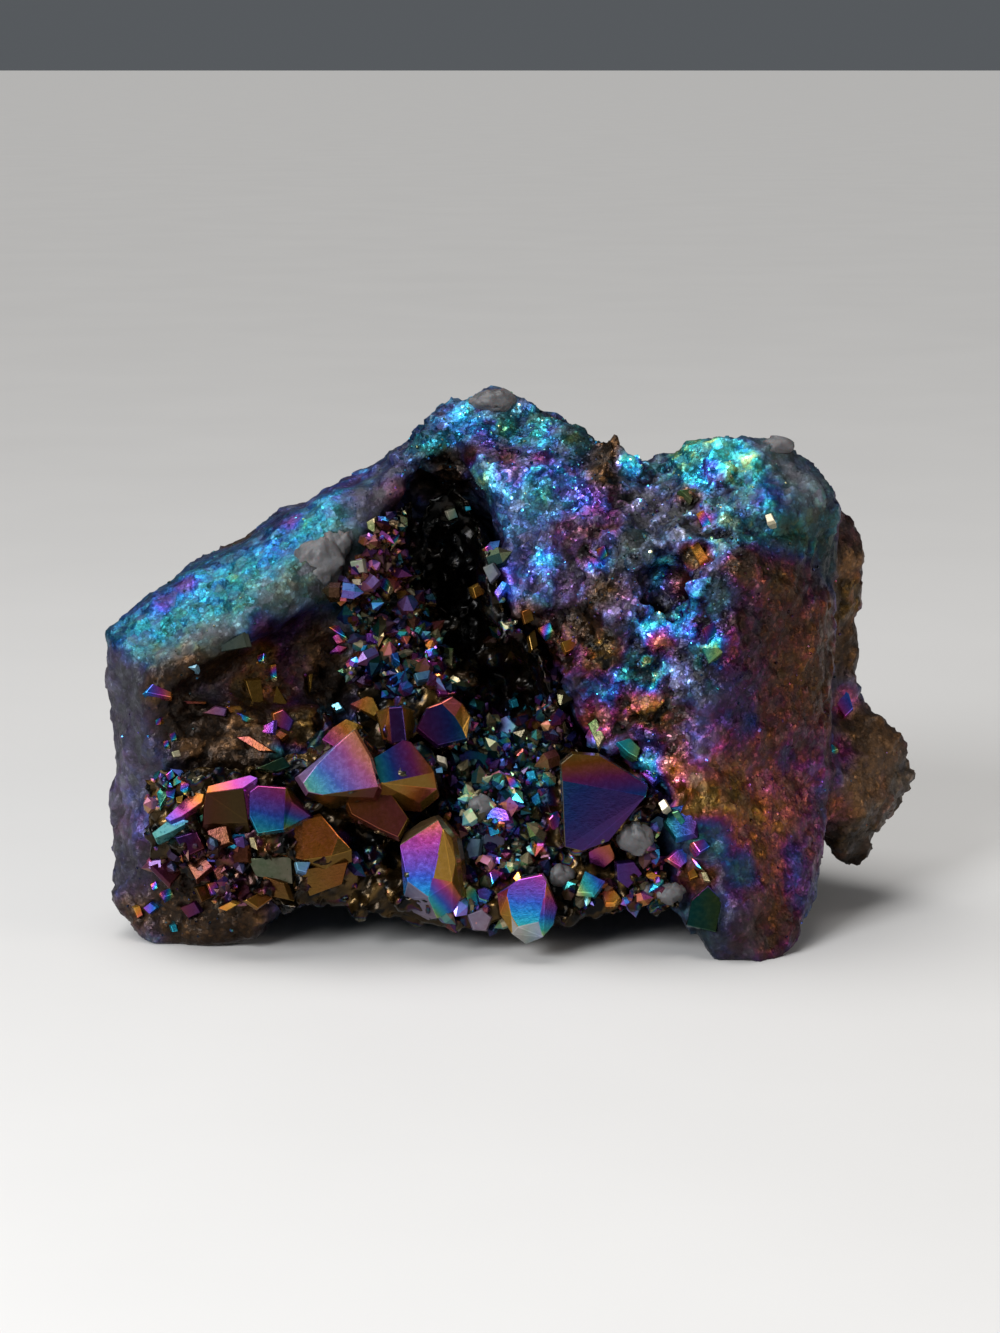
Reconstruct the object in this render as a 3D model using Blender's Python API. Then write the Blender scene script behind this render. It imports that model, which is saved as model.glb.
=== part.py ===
"""A broken piece of a quartz geode with a rainbow coating, about 90 mm long.

The specimen is two solids: the massive quartz wall with its open hollow, and the
crust of grown crystals that lines the hollow. Corners are given in millimetres.
+X is to the right, -Y to the front where the hollow opens, +Z is up, and the
specimen stands on the flats that are worn on its underside.
"""

import math
import random

import bmesh
import bpy
from mathutils import Vector, noise
from mathutils.bvhtree import BVHTree

MM = 0.001

# The wall's surface: the size of its remeshed cells, and how many triangles it keeps.
WALL_CELL = 1.1 * MM
WALL_TRIANGLES = 3450

# How far the wall's finished surface stands out from its rough one.
WALL_SWELL = 0.35 * MM

# The plane that the specimen rests on is worn this far above the origin of the corners,
# and the box that wears it reaches this far.
WORN_LEVEL = -0.5
WORN_REACH = 60.0

# Points of one solid closer than this are the same point.
MERGE_WITHIN = 0.001 * MM

# The crust's skin: how far it stands off the wall, how thick it is, and its grain.
CRUST_GAP = 0.75 * MM
CRUST_THICKNESS = 1.5 * MM
CRUST_CELL = 1.2 * MM
CRUST_SKIN_TRIANGLES = 1120
CRUST_BED_TRIANGLES = 2400
FLAT_WITHIN = math.radians(1.0)

# The rainbow coating's mean colour, roughness and metallic share.
WALL_COAT = ((0.16, 0.20, 0.30), 0.38, 0.55)
CRUST_COAT = ((0.22, 0.16, 0.30), 0.18, 0.8)

# A quartz point's end faces stand at this angle to its long axis, and every other one
# starts lower by this share of the radius.
END_FACE_ANGLE = math.radians(38.2)
END_STAGGER = 0.22

# Small crystals: the seed, how many places are tried for each, how close two may stand
# for their radii, how far they sway, and how long the shaft is for its radius.
CRYSTAL_SEED = 23
TRIES_EACH = 14
CLOSENESS = 0.85
SWAY = 0.5
SHAFT_STRETCH = (1.0, 1.7)
ROOT_DEPTH = 0.5
FRONT = Vector((0.0, -1.0, 0.25)).normalized()
OUT_IN_FRONT = -60.0

# Corners of the convex lumps that make up the wall.
WALL_LUMPS = {
    "left_slab": [
        (-44.6, -7.0, 33.2), (-38.5, -14.0, 28.5), (-28.0, -11.0, 34.3), (-19.5, -7.0, 38.8),
        (-13.0, -2.0, 46.5), (-10.0, 0.0, 51.0), (-34.5, 2.0, 39.6), (-23.0, 6.0, 44.0),
        (-14.0, 8.0, 50.0), (-10.0, 8.5, 52.2), (-43.6, -8.0, 18.5), (-38.0, -14.5, 20.0),
        (-41.5, 4.0, 25.0), (-34.0, 12.0, 26.0), (-18.0, 16.0, 34.0), (-20.0, -6.0, 20.0),
    ],
    "left_foot": [
        (-43.6, -8.5, 19.0), (-43.4, -9.5, 8.0), (-42.8, -11.0, 1.0), (-37.8, -15.0, -1.4),
        (-32.0, -15.8, -1.4), (-29.0, -16.6, 0.8), (-23.0, -15.0, 3.6), (-37.5, -15.5, 14.0),
        (-30.0, -17.0, 13.0), (-22.0, -15.5, 12.0), (-41.0, 4.0, 4.0), (-34.0, 10.0, -0.6),
        (-18.0, 2.0, 4.0), (-18.0, -8.0, 16.0), (-38.0, -10.0, 22.0),
        (-44.4, -9.0, 13.6),
    ],
    "core": [
        (-34.0, -2.0, 6.0), (-36.0, 2.0, 24.0), (-20.0, 4.0, 42.0), (6.0, 6.0, 46.0),
        (30.0, 2.0, 44.0), (34.0, 0.0, 8.0), (-30.0, 14.0, 6.0), (-30.0, 14.0, 30.0),
        (30.0, 16.0, 8.0), (28.0, 16.0, 40.0), (-8.0, 16.0, 48.0), (-20.0, -8.0, 8.0),
        (-24.0, -6.0, 22.0),
    ],
    "back": [
        (-40.0, 6.0, 3.0), (-33.0, 18.0, 2.0), (-12.0, 25.0, -0.6), (14.0, 26.0, -0.6),
        (31.0, 21.0, 3.0), (38.0, 10.0, 5.0), (-40.0, 4.0, 22.0), (-30.0, 18.0, 24.0),
        (-6.0, 25.5, 27.0), (18.0, 25.0, 28.0), (35.0, 17.0, 30.0), (-22.0, 11.0, 43.0),
        (-8.0, 13.0, 53.0), (7.0, 13.0, 53.5), (13.0, 13.0, 49.0), (-20.0, 12.0, 6.0),
        (10.0, 14.0, -0.6),
    ],
    "rear_right": [
        (12.0, 6.0, 8.0), (34.0, 18.0, 8.0), (37.0, 10.0, 12.0), (36.5, 12.0, 34.0),
        (32.0, 10.0, 47.0), (22.0, 14.0, 48.0), (12.0, 16.0, 46.0), (14.0, 6.0, 46.0),
        (28.0, 20.0, 32.0),
    ],
    "rear_top": [
        (-17.0, 6.0, 36.0), (-14.0, 8.0, 48.0), (-6.0, 8.0, 54.6), (8.0, 6.0, 52.0),
        (12.0, 8.0, 42.0), (8.0, 18.0, 46.0), (-8.0, 18.0, 48.0), (-18.0, 16.0, 38.0),
        (0.0, 4.0, 48.0),
    ],
    "rear_left": [
        (-43.2, -6.0, 4.0), (-43.4, -5.0, 22.0), (-40.0, 2.0, 30.0), (-41.0, 6.0, 6.0),
        (-34.0, 14.0, 4.0), (-33.0, 14.0, 28.0), (-26.0, 2.0, 2.6), (-24.0, 4.0, 26.0),
    ],
    "peak": [
        (-12.0, 3.0, 53.2), (-8.6, 7.0, 56.0), (-4.0, 5.0, 56.8), (2.0, 5.5, 56.8),
        (6.4, 3.5, 55.0), (11.5, 0.5, 52.8), (12.0, 2.0, 49.6), (-8.0, -1.5, 49.0),
        (-1.0, -3.0, 50.3), (10.0, -3.0, 49.0), (8.0, 13.0, 50.0), (-6.0, 14.0, 50.0),
        (-6.0, 2.0, 43.0), (11.0, 4.0, 43.0),
    ],
    "peak_knoll": [
        (-4.8, 4.5, 55.6), (-3.8, 4.0, 57.8), (-1.4, 4.5, 58.4), (0.8, 4.5, 58.0),
        (3.0, 4.0, 56.0), (-3.2, 8.0, 57.0), (0.8, 8.0, 57.6), (-1.0, 6.0, 53.5),
    ],
    "peak_shoulder": [
        (8.4, -3.0, 51.6), (10.4, -3.5, 54.2), (12.6, -3.0, 53.8), (13.6, -3.5, 50.8),
        (11.4, -4.6, 49.4), (11.2, 1.5, 54.2), (13.0, 2.0, 49.6),
    ],
    "lip": [
        (-4.4, -2.6, 50.2), (0.0, -4.6, 50.0), (11.0, -4.8, 48.0), (-3.4, -5.4, 46.4),
        (1.0, -6.6, 43.0), (10.0, -7.6, 41.0), (0.0, 2.0, 40.0), (12.0, 4.0, 48.0),
        (-4.0, 2.0, 47.0),
    ],
    "right_mass": [
        (12.0, -2.0, 50.2), (17.0, 0.0, 51.4), (21.0, 2.0, 50.6), (25.0, 0.5, 50.8),
        (30.2, -1.0, 53.4), (33.6, 0.0, 51.4), (24.0, 10.0, 50.2), (32.0, 10.0, 48.5),
        (35.5, -2.0, 46.5), (31.0, -8.0, 46.5), (25.0, -12.5, 42.0), (23.2, -14.5, 36.0),
        (22.0, -16.0, 27.0), (20.5, -17.5, 18.0), (-4.0, -4.5, 46.0), (-4.4, -6.0, 41.0),
        (-4.8, -8.5, 36.2), (0.0, -10.5, 30.6), (8.4, -12.0, 24.6), (9.4, -12.0, 20.0), (35.8, -3.0, 30.0),
        (35.5, -5.0, 10.0), (36.5, 12.0, 12.0), (37.0, 12.0, 36.0), (2.0, 6.0, 36.0),
        (8.0, 10.0, 18.0), (14.0, -6.0, 14.0),
    ],
    "right_foot": [
        (20.0, -18.5, 18.0), (35.4, -5.5, 14.0), (34.6, -7.0, 7.0), (32.6, -13.0, 2.2),
        (31.2, -18.0, -0.4), (27.4, -21.2, -2.0), (22.0, -20.2, -1.4), (18.5, -18.0, 3.0),
        (24.0, -11.0, -2.0), (32.0, 2.0, 3.0), (20.0, 4.0, 5.0), (15.0, -13.0, 6.0),
        (14.5, -14.0, 12.0),
    ],
    "side_strip": [
        (33.5, 2.0, 49.2), (37.0, 4.0, 45.8), (39.6, 5.0, 38.0), (39.4, 5.0, 33.0),
        (39.6, 6.0, 25.0), (38.6, 5.0, 19.0), (34.0, 0.0, 30.0), (32.0, 14.0, 46.0), (36.0, 15.0, 34.0),
        (37.0, 14.0, 18.0), (33.0, 2.0, 16.0),
    ],
    "side_knob": [
        (40.0, 5.0, 21.4), (43.4, 5.0, 19.6), (45.4, 5.5, 15.6), (46.8, 6.0, 13.4),
        (44.8, 6.0, 9.4), (42.6, 4.0, 6.2), (39.6, 2.5, 2.8), (37.4, 3.0, 1.4),
        (35.0, 0.0, 5.0), (39.0, -1.5, 12.0), (36.0, -3.0, 16.0), (41.0, 12.0, 15.0),
        (37.0, 16.0, 9.0), (36.0, 14.0, 20.0),
    ],
    "floor_of_hollow": [
        (-24.0, -15.0, 4.4), (-10.0, -14.0, 6.0), (-3.0, -16.0, 3.2), (5.0, -16.0, 3.2),
        (14.0, -15.0, 4.4), (20.0, -14.0, 4.6), (-24.0, -14.0, 12.0), (-6.0, -13.0, 12.0),
        (16.0, -14.0, 13.0), (-22.0, 2.0, 22.0), (0.0, 4.0, 20.0), (20.0, 0.0, 20.0),
        (-24.0, 14.0, 4.6), (22.0, 12.0, 4.6),
    ],
    "hanging_lobe": [
        (-11.0, -15.5, 9.0), (-9.0, -16.5, 4.2), (-5.0, -16.5, 2.8), (3.0, -17.0, 1.6),
        (6.0, -15.5, 4.0), (4.0, -14.0, 10.0), (-8.0, -6.0, 6.0), (4.0, -6.0, 5.0),
    ],
}

# Corners of the convex voids that open the hollow and crack the wall.
WALL_VOIDS = {
    "deep_vug": [
        (-8.6, -6.0, 53.8), (-4.8, -6.0, 54.0), (-14.0, -6.0, 49.8), (-19.0, -12.0, 41.5),
        (-2.6, -12.0, 47.6), (-3.2, -14.0, 40.6), (-3.0, -16.0, 37.0), (-20.0, -16.0, 30.0),
        (-8.0, 1.5, 51.6), (-5.4, 1.5, 51.8), (-8.5, 5.0, 44.0), (-4.0, 9.0, 40.0), (0.0, 13.0, 33.0),
        (-3.0, 13.0, 30.0), (-3.0, 11.0, 24.0),
    ],
    "lower_vug": [
        (-12.0, -18.0, 36.0), (-3.4, -18.0, 37.2), (7.6, -18.0, 28.0), (8.8, -18.0, 22.4),
        (8.4, -20.0, 16.0), (-14.0, -20.0, 14.0), (-1.0, 11.0, 30.0), (4.5, 7.0, 24.0),
        (0.0, 2.0, 18.0), (-10.0, -6.0, 18.0),
    ],
    "left_recess": [
        (-38.2, -18.0, 27.6), (-28.0, -18.0, 34.0), (-19.5, -18.0, 38.4), (-12.0, -16.0, 43.0),
        (-38.0, -18.0, 17.0), (-10.0, -20.0, 16.0), (-36.5, -10.0, 26.0), (-36.5, -10.0, 18.0),
        (-20.0, -3.5, 36.0), (-20.0, -3.0, 22.0), (-12.0, 0.0, 40.0), (-10.0, -2.0, 20.0),
    ],
    "crystal_bed": [
        (-28.0, -22.0, 18.0), (-10.0, -22.0, 18.0), (12.0, -22.0, 20.0), (19.0, -24.0, 14.0),
        (17.0, -24.0, 5.0), (-26.0, -24.0, 6.0), (-24.0, -13.0, 15.0), (-22.0, -14.5, 6.0),
        (-8.0, -12.0, 8.0), (14.0, -14.0, 6.0), (12.0, -11.0, 14.0), (-8.0, -8.0, 15.0),
    ],
    "right_cleft": [
        (13.5, -18.0, 43.0), (16.5, -18.0, 46.0), (21.5, -20.0, 36.0), (17.5, -20.0, 28.0),
        (15.5, -5.5, 43.0), (18.5, -9.0, 37.0), (16.8, -10.0, 32.0),
    ],
    "peak_crease": [
        (-5.5, -8.0, 50.6), (9.0, -8.0, 50.4), (9.0, -8.0, 48.9), (-5.5, -8.0, 49.0),
        (-4.0, -1.0, 49.9), (8.5, -1.6, 49.6),
    ],
    "side_crack": [
        (35.0, -8.0, 28.5), (36.6, -8.0, 28.0), (36.8, -6.0, 22.5), (35.4, -6.0, 23.0),
        (36.4, 4.0, 27.0), (36.8, 4.0, 24.0),
    ],
}

# Corners of the blocks that stand out again inside the hollow, below the slab.
INNER_BLOCKS = {
    "recess_block": [
        (-38.6, -12.2, 25.0), (-30.0, -10.6, 25.4), (-21.0, -8.6, 24.8), (-38.6, -14.2, 18.6),
        (-20.5, -12.4, 18.4), (-35.0, -4.0, 24.0), (-20.0, -3.0, 24.0), (-35.0, -4.0, 17.0),
        (-18.0, -4.0, 17.0),
    ],
    "foot_facet": [
        (20.0, -19.3, 7.6), (22.2, -20.8, 7.4), (25.2, -22.0, 3.0), (20.6, -20.6, 1.8),
        (19.0, -19.0, 4.1), (27.0, -16.0, 6.0), (22.0, -14.0, 9.0), (22.0, -14.0, 3.0),
    ],
}

# Zones of the wall's grain: middle, half lengths, and how far broad swells, crystal
# blocks and fine grain press the surface in or out, in millimetres.
GRAIN_ZONES = {
    "slab_face": ((-28.0, -8.0, 36.0), (22.0, 12.0, 16.0), (0.3, 0.4, 0.5)),
    "granular_mass": ((16.0, -6.0, 42.0), (17.0, 14.0, 16.0), (0.9, 3.0, 0.4)),
    "vug_edge": ((1.0, -8.0, 36.0), (7.0, 9.0, 12.0), (0.4, 3.4, 0.4)),
    "inner_edge": ((15.0, -12.0, 22.0), (8.0, 10.0, 12.0), (0.4, 2.0, 0.4)),
    "peak_top": ((0.0, 2.0, 52.0), (13.0, 10.0, 7.0), (0.5, 1.4, 0.4)),
    "glassy_break": ((30.0, -10.0, 22.0), (9.0, 10.0, 22.0), (0.7, 0.5, 0.2)),
    "left_foot": ((-35.0, -12.0, 8.0), (12.0, 10.0, 10.0), (0.8, 1.4, 0.4)),
}
PLAIN_GRAIN = (1.2, 1.3, 0.4)
ZONE_HOLD = 6.0
SWELL_LENGTH = 9.0
BLOCK_LENGTH = 5.2
BLOCK_EDGE = 0.42
FINE_LENGTH = 2.1

# Corners of the convex fields in which the crust grows on the wall.
CRUST_FIELDS = {
    "vug_field": [
        (-9.5, -5.0, 50.0), (-6.6, -5.0, 51.0), (-14.5, -7.0, 46.0), (-20.5, -12.0, 39.0),
        (-23.0, -14.0, 32.0), (-23.0, -16.0, 22.0), (-5.0, -3.0, 44.0), (-4.6, -5.0, 38.0),
        (-1.4, -9.0, 32.0), (6.6, -12.0, 24.0), (9.0, -15.0, 15.0), (-18.0, -20.0, 15.0),
        (-6.0, 8.0, 45.0), (-10.0, 12.0, 34.0), (1.0, 15.0, 32.0), (4.5, 10.0, 21.0),
        (-14.0, 4.0, 30.0), (-12.0, 0.0, 18.0),
    ],
    "bed_field": [
        (-40.0, -15.0, 18.8), (-27.0, -14.0, 20.4), (-12.0, -6.0, 22.0), (12.0, -8.0, 22.0),
        (20.0, -12.0, 16.0), (19.0, -20.0, 4.4), (8.0, -22.0, 1.4), (-12.0, -22.0, 1.6),
        (-28.0, -22.0, 4.0), (-39.0, -20.0, 9.0), (-38.0, -9.0, 10.0), (-20.0, -6.0, 6.0),
        (14.0, -8.0, 6.0), (0.0, -8.0, 3.0),
    ],
}

# Large crystals: the corners that show, and the way from them back into the crust.
LARGE_CRYSTALS = {
    "left_blade": (
        [(-15.9, -17.2, 24.1), (-21.8, -20.4, 19.1), (-19.8, -21.6, 18.0), (-13.9, -21.4, 18.7),
         (-14.4, -17.6, 22.4), (-20.0, -17.2, 22.6), (-17.4, -15.2, 24.7)],
        (2.5, 7.0, -6.0),
    ),
    "left_blade_neighbour": (
        [(-10.6, -15.5, 22.4), (-14.2, -17.0, 20.4), (-11.7, -19.4, 19.6), (-8.2, -17.6, 20.2),
         (-8.4, -15.4, 21.6), (-13.2, -18.4, 17.0), (-9.2, -17.6, 16.0)],
        (1.0, 6.0, -4.0),
    ),
    "slope_point": (
        [(-7.3, -15.4, 23.9), (-9.8, -13.8, 22.8), (-9.0, -12.6, 24.9), (-7.2, -11.8, 25.8),
         (-5.2, -12.4, 25.2), (-4.7, -13.2, 23.4), (-7.3, -14.4, 21.8)],
        (0.5, 6.0, -2.5),
    ),
    "gold_point": (
        [(-11.9, -13.0, 25.6), (-14.0, -13.8, 24.8), (-13.7, -14.8, 22.4), (-12.1, -15.4, 21.7),
         (-10.2, -14.0, 22.3), (-10.3, -12.6, 24.9)],
        (0.5, 5.0, -3.0),
    ),
    "small_gold_point": (
        [(-16.0, -12.0, 26.4), (-17.8, -12.8, 25.8), (-14.0, -12.8, 25.2), (-15.8, -13.8, 25.0)],
        (0.5, 5.0, -3.0),
    ),
    "left_prism": (
        [(-26.0, -17.6, 18.4), (-27.7, -19.2, 17.2), (-27.6, -20.6, 14.8), (-26.2, -21.2, 13.5),
         (-24.8, -20.8, 14.2), (-23.0, -19.2, 17.0), (-22.8, -16.0, 17.8), (-21.8, -17.8, 14.7)],
        (1.5, 6.0, -3.5),
    ),
    "left_ledge": (
        [(-32.5, -16.0, 17.6), (-27.2, -15.6, 18.7), (-26.4, -17.0, 18.3), (-28.2, -18.4, 17.3),
         (-32.4, -18.2, 16.8)],
        (0.5, 5.0, -3.0),
    ),
    "left_ledge_lower": (
        [(-32.7, -16.0, 16.8), (-34.3, -15.6, 16.4), (-36.9, -16.8, 14.0), (-34.8, -18.2, 14.2),
         (-32.6, -18.2, 15.8)],
        (0.8, 5.0, -2.5),
    ),
    "rim_block": (
        [(-38.4, -16.6, 12.0), (-34.3, -17.4, 13.6), (-33.6, -18.0, 13.0), (-36.8, -18.2, 11.8),
         (-38.6, -15.0, 12.9)],
        (0.8, 4.0, -3.0),
    ),
    "amber_block": (
        [(-17.7, -17.5, 12.8), (-19.2, -17.2, 14.2), (-22.4, -18.0, 13.8), (-25.0, -19.4, 11.2),
         (-22.4, -20.0, 9.8), (-19.4, -19.4, 9.8), (-17.4, -17.8, 11.0)],
        (1.0, 6.0, -2.0),
    ),
    "brown_block": (
        [(-11.2, -17.4, 14.8), (-13.9, -18.4, 17.6), (-16.8, -19.0, 16.8), (-16.4, -19.8, 14.2),
         (-12.8, -20.0, 12.6), (-10.4, -18.0, 13.0)],
        (1.0, 6.0, -2.0),
    ),
    "grey_block": (
        [(-25.7, -17.0, 10.4), (-28.2, -17.4, 9.4), (-28.3, -18.0, 7.0), (-24.4, -18.2, 6.0),
         (-23.0, -17.2, 7.0), (-23.2, -17.2, 9.8)],
        (0.5, 5.0, -1.0),
    ),
    "gold_block": (
        [(-19.3, -17.0, 9.0), (-22.4, -17.6, 8.4), (-21.6, -17.2, 5.2), (-17.2, -16.8, 6.0),
         (-16.0, -16.6, 10.4)],
        (0.5, 5.0, -1.0),
    ),
    "middle_prism": (
        [(-7.4, -17.4, 14.6), (-11.7, -19.4, 12.2), (-10.9, -21.2, 8.0), (-8.8, -21.8, 6.5),
         (-7.8, -21.0, 10.4), (-5.8, -18.0, 12.4), (-5.3, -18.8, 6.8), (-7.9, -19.0, 3.4),
         (-10.3, -19.0, 4.4)],
        (1.0, 7.0, -1.0),
    ),
    "right_prism": (
        [(3.3, -18.8, 8.4), (0.5, -19.6, 8.1), (-0.7, -20.4, 6.6), (0.4, -21.4, 3.8),
         (2.8, -21.6, 3.1), (3.9, -20.4, 7.0), (5.2, -18.4, 4.2), (1.8, -18.6, 1.2),
         (-1.4, -18.0, 5.4), (-0.8, -18.2, 2.0)],
        (0.5, 7.0, 1.0),
    ),
    "great_right_block": (
        [(5.4, -18.6, 18.6), (6.8, -14.6, 20.8), (9.9, -14.0, 20.6), (14.7, -15.4, 17.2),
         (13.7, -18.6, 16.0), (13.0, -19.2, 15.0), (10.6, -20.6, 12.6), (6.6, -21.0, 11.4),
         (5.2, -20.2, 12.6)],
        (0.5, 7.0, -2.0),
    ),
    "cleft_block": (
        [(-1.8, -13.6, 18.4), (-4.6, -13.4, 18.0), (-5.6, -15.0, 15.6), (-4.0, -17.4, 13.6),
         (-1.2, -17.6, 13.2), (0.6, -15.8, 15.4), (0.4, -14.2, 17.6)],
        (0.5, 5.0, -2.0),
    ),
    "foot_tip": (
        [(16.3, -18.0, 10.0), (18.6, -17.6, 11.2), (19.0, -18.8, 10.4), (17.8, -20.2, 9.6)],
        (0.5, 4.0, -3.0),
    ),
}

# A rounded grey crystal with no flat faces: its middle and its radius.
ROUND_CRYSTAL = ((13.0, -17.0, 12.2), 2.7)

# Patches of small crystals seen from the front: lowest and highest X, lowest and highest
# Z, how many, smallest and largest radius, and how far they lean towards the front.
CRYSTAL_PATCHES = {
    "slope_druse": ((-20.0, -5.0), (26.5, 44.0), 30, (0.9, 1.6), 0.3),
    "vug_wall": ((-8.0, 2.0), (26.0, 46.0), 8, (0.8, 1.3), 0.2),
    "recess_ledge": ((-37.0, -22.0), (17.0, 19.5), 9, (0.9, 1.5), 0.5),
    "left_bed": ((-36.0, -17.0), (5.0, 18.0), 18, (1.2, 2.0), 0.5),
    "middle_bed": ((-17.0, -6.0), (4.5, 20.0), 8, (1.2, 2.0), 0.5),
    "middle_gap": ((-6.0, 5.5), (8.0, 25.0), 21, (0.9, 1.7), 0.5),
    "right_bed": ((5.0, 19.0), (4.0, 19.0), 16, (1.0, 1.8), 0.5),
}


def clear_scene():
    """Removes whatever the file opens with."""
    for thing in list(bpy.data.objects):
        bpy.data.objects.remove(thing)


def linked_object(name, bm):
    """A new object of this geometry, in the scene. It frees the geometry."""
    mesh = bpy.data.meshes.new(name)
    bm.to_mesh(mesh)
    bm.free()
    thing = bpy.data.objects.new(name, mesh)
    bpy.context.scene.collection.objects.link(thing)
    return thing


def add_hull(bm, corners):
    """Adds the convex solid around these corners."""
    points = [bm.verts.new(corner) for corner in corners]
    made = bmesh.ops.convex_hull(bm, input=points, use_existing_faces=False)
    inside = {v for v in made["geom_interior"] if isinstance(v, bmesh.types.BMVert)}
    bmesh.ops.delete(bm, geom=list(inside), context="VERTS")
    faces = [f for f in made["geom"] if isinstance(f, bmesh.types.BMFace) and f.is_valid]
    bmesh.ops.recalc_face_normals(bm, faces=faces)


def convex_lump(name, corners):
    """An object of the convex solid around corners given in millimetres."""
    bm = bmesh.new()
    add_hull(bm, [Vector(corner) * MM for corner in corners])
    return linked_object(name, bm)


def copy_of(thing, name):
    """A second object with its own mesh."""
    bm = bmesh.new()
    bm.from_mesh(thing.data)
    return linked_object(name, bm)


def apply_modifiers(thing):
    """Makes what the object's modifiers give its own mesh."""
    graph = bpy.context.evaluated_depsgraph_get()
    made = bpy.data.meshes.new_from_object(thing.evaluated_get(graph))
    thing.modifiers.clear()
    thing.data = made


def combine(thing, other, operation, self_crossing=False):
    """Joins other to thing, cuts it away or keeps what both share, and removes other."""
    boolean = thing.modifiers.new(operation.lower(), "BOOLEAN")
    boolean.operation = operation
    boolean.solver = "EXACT"
    boolean.use_self = self_crossing
    boolean.object = other
    apply_modifiers(thing)
    bpy.data.objects.remove(other)


def united(name, lumps):
    """One solid of all the convex lumps."""
    names = list(lumps)
    whole = convex_lump(name, lumps[names[0]])
    for key in names[1:]:
        combine(whole, convex_lump(key, lumps[key]), "UNION")
    return whole


def remesh(thing, cell):
    """Rebuilds the surface from even cells."""
    modifier = thing.modifiers.new("cells", "REMESH")
    modifier.mode = "VOXEL"
    modifier.voxel_size = cell
    apply_modifiers(thing)


def thin_out(thing, triangles):
    """Keeps about this many triangles, most where the surface bends."""
    count = sum(len(p.vertices) - 2 for p in thing.data.polygons)
    modifier = thing.modifiers.new("thin", "DECIMATE")
    modifier.ratio = min(1.0, triangles / count)
    apply_modifiers(thing)


def merge_flats(thing):
    """Merges neighbouring faces that lie in one plane."""
    modifier = thing.modifiers.new("flats", "DECIMATE")
    modifier.decimate_type = "DISSOLVE"
    modifier.angle_limit = FLAT_WITHIN
    apply_modifiers(thing)


def stand_off(thing, distance):
    """Moves the surface out along its normals."""
    for vertex, normal in zip(thing.data.vertices, [v.normal.copy() for v in thing.data.vertices]):
        vertex.co += normal * distance


def keep_largest_body(thing):
    """Deletes the loose crumbs that a cut leaves beside the largest body."""
    bm = bmesh.new()
    bm.from_mesh(thing.data)
    bmesh.ops.remove_doubles(bm, verts=bm.verts, dist=MERGE_WITHIN)
    unseen = set(bm.verts)
    bodies = []
    while unseen:
        body = {unseen.pop()}
        edge = list(body)
        while edge:
            near = {e.other_vert(v) for v in edge for e in v.link_edges} & unseen
            unseen -= near
            body |= near
            edge = list(near)
        bodies.append(body)
    bodies.sort(key=len)
    crumbs = [v for body in bodies[:-1] for v in body]
    bmesh.ops.delete(bm, geom=crumbs, context="VERTS")
    bm.to_mesh(thing.data)
    bm.free()


def grain_at(place):
    """The swell, block and fine amplitudes here, blended from the zones."""
    total = Vector(PLAIN_GRAIN)
    weight = 1.0
    for middle, reach, amplitudes in GRAIN_ZONES.values():
        away = [(p - m) / r for p, m, r in zip(place, middle, reach)]
        near = ZONE_HOLD * max(0.0, 1.0 - sum(a * a for a in away))
        total += near * Vector(amplitudes)
        weight += near
    return total / weight


def weather(thing):
    """Presses swells, crystal blocks and fine grain into the surface, along its normals."""
    moved = []
    for vertex in thing.data.vertices:
        place = vertex.co / MM
        swell, block, fine = grain_at(place)
        nearest = noise.voronoi(place / BLOCK_LENGTH, distance_metric="MANHATTAN")[0][0]
        rise = swell * noise.noise(place / SWELL_LENGTH)
        rise += block * (BLOCK_EDGE - nearest)
        rise += fine * noise.noise(place / FINE_LENGTH)
        moved.append(vertex.co + vertex.normal * rise * MM)
    for vertex, place in zip(thing.data.vertices, moved):
        vertex.co = place


def quartz_point(bm, foot, axis, radius, length, roll):
    """Adds a six-sided crystal whose end narrows to a point, rooted at its foot."""
    across = axis.orthogonal().normalized()
    beside = axis.cross(across)
    end_length = radius / math.tan(END_FACE_ANGLE)
    corners = [foot + axis * length, foot - axis * radius]
    for side in range(6):
        turn = roll + side * math.tau / 6
        out = (across * math.cos(turn) + beside * math.sin(turn)) * radius
        stagger = END_STAGGER * radius * (side % 2)
        corners.append(foot + out + axis * (length - end_length - stagger))
    add_hull(bm, corners)


def grow_patch(bm, bed, patch, chance):
    """Adds a patch of small crystals where lines from the front meet the bed."""
    x_span, z_span, count, radii, lean = patch
    grown = []
    for _ in range(count * TRIES_EACH):
        start = Vector((chance.uniform(*x_span), OUT_IN_FRONT, chance.uniform(*z_span)))
        radius = chance.uniform(*radii) * MM
        sway = Vector([chance.uniform(-SWAY, SWAY) for _ in range(3)])
        roll = chance.uniform(0.0, math.tau)
        length = radius * (1.0 + chance.uniform(*SHAFT_STRETCH))
        foot, normal, _, _ = bed.ray_cast(start * MM, Vector((0.0, 1.0, 0.0)))
        if foot is None:
            continue
        if any((foot - other).length < CLOSENESS * (radius + size) for other, size in grown):
            continue
        axis = (normal * (1.0 - lean) + FRONT * lean + sway).normalized()
        quartz_point(bm, foot - axis * ROOT_DEPTH * radius, axis, radius, length, roll)
        grown.append((foot, radius))
        if len(grown) == count:
            break


def large_crystals(bm):
    """Adds the large crystals of the hollow's front and the rounded one."""
    for corners, root in LARGE_CRYSTALS.values():
        near = [Vector(corner) for corner in corners]
        far = [corner + Vector(root) for corner in near]
        add_hull(bm, [corner * MM for corner in near + far])
    middle, radius = ROUND_CRYSTAL
    ball = bmesh.ops.create_icosphere(bm, subdivisions=2, radius=radius * MM)
    bmesh.ops.translate(bm, verts=ball["verts"], vec=Vector(middle) * MM)


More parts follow.
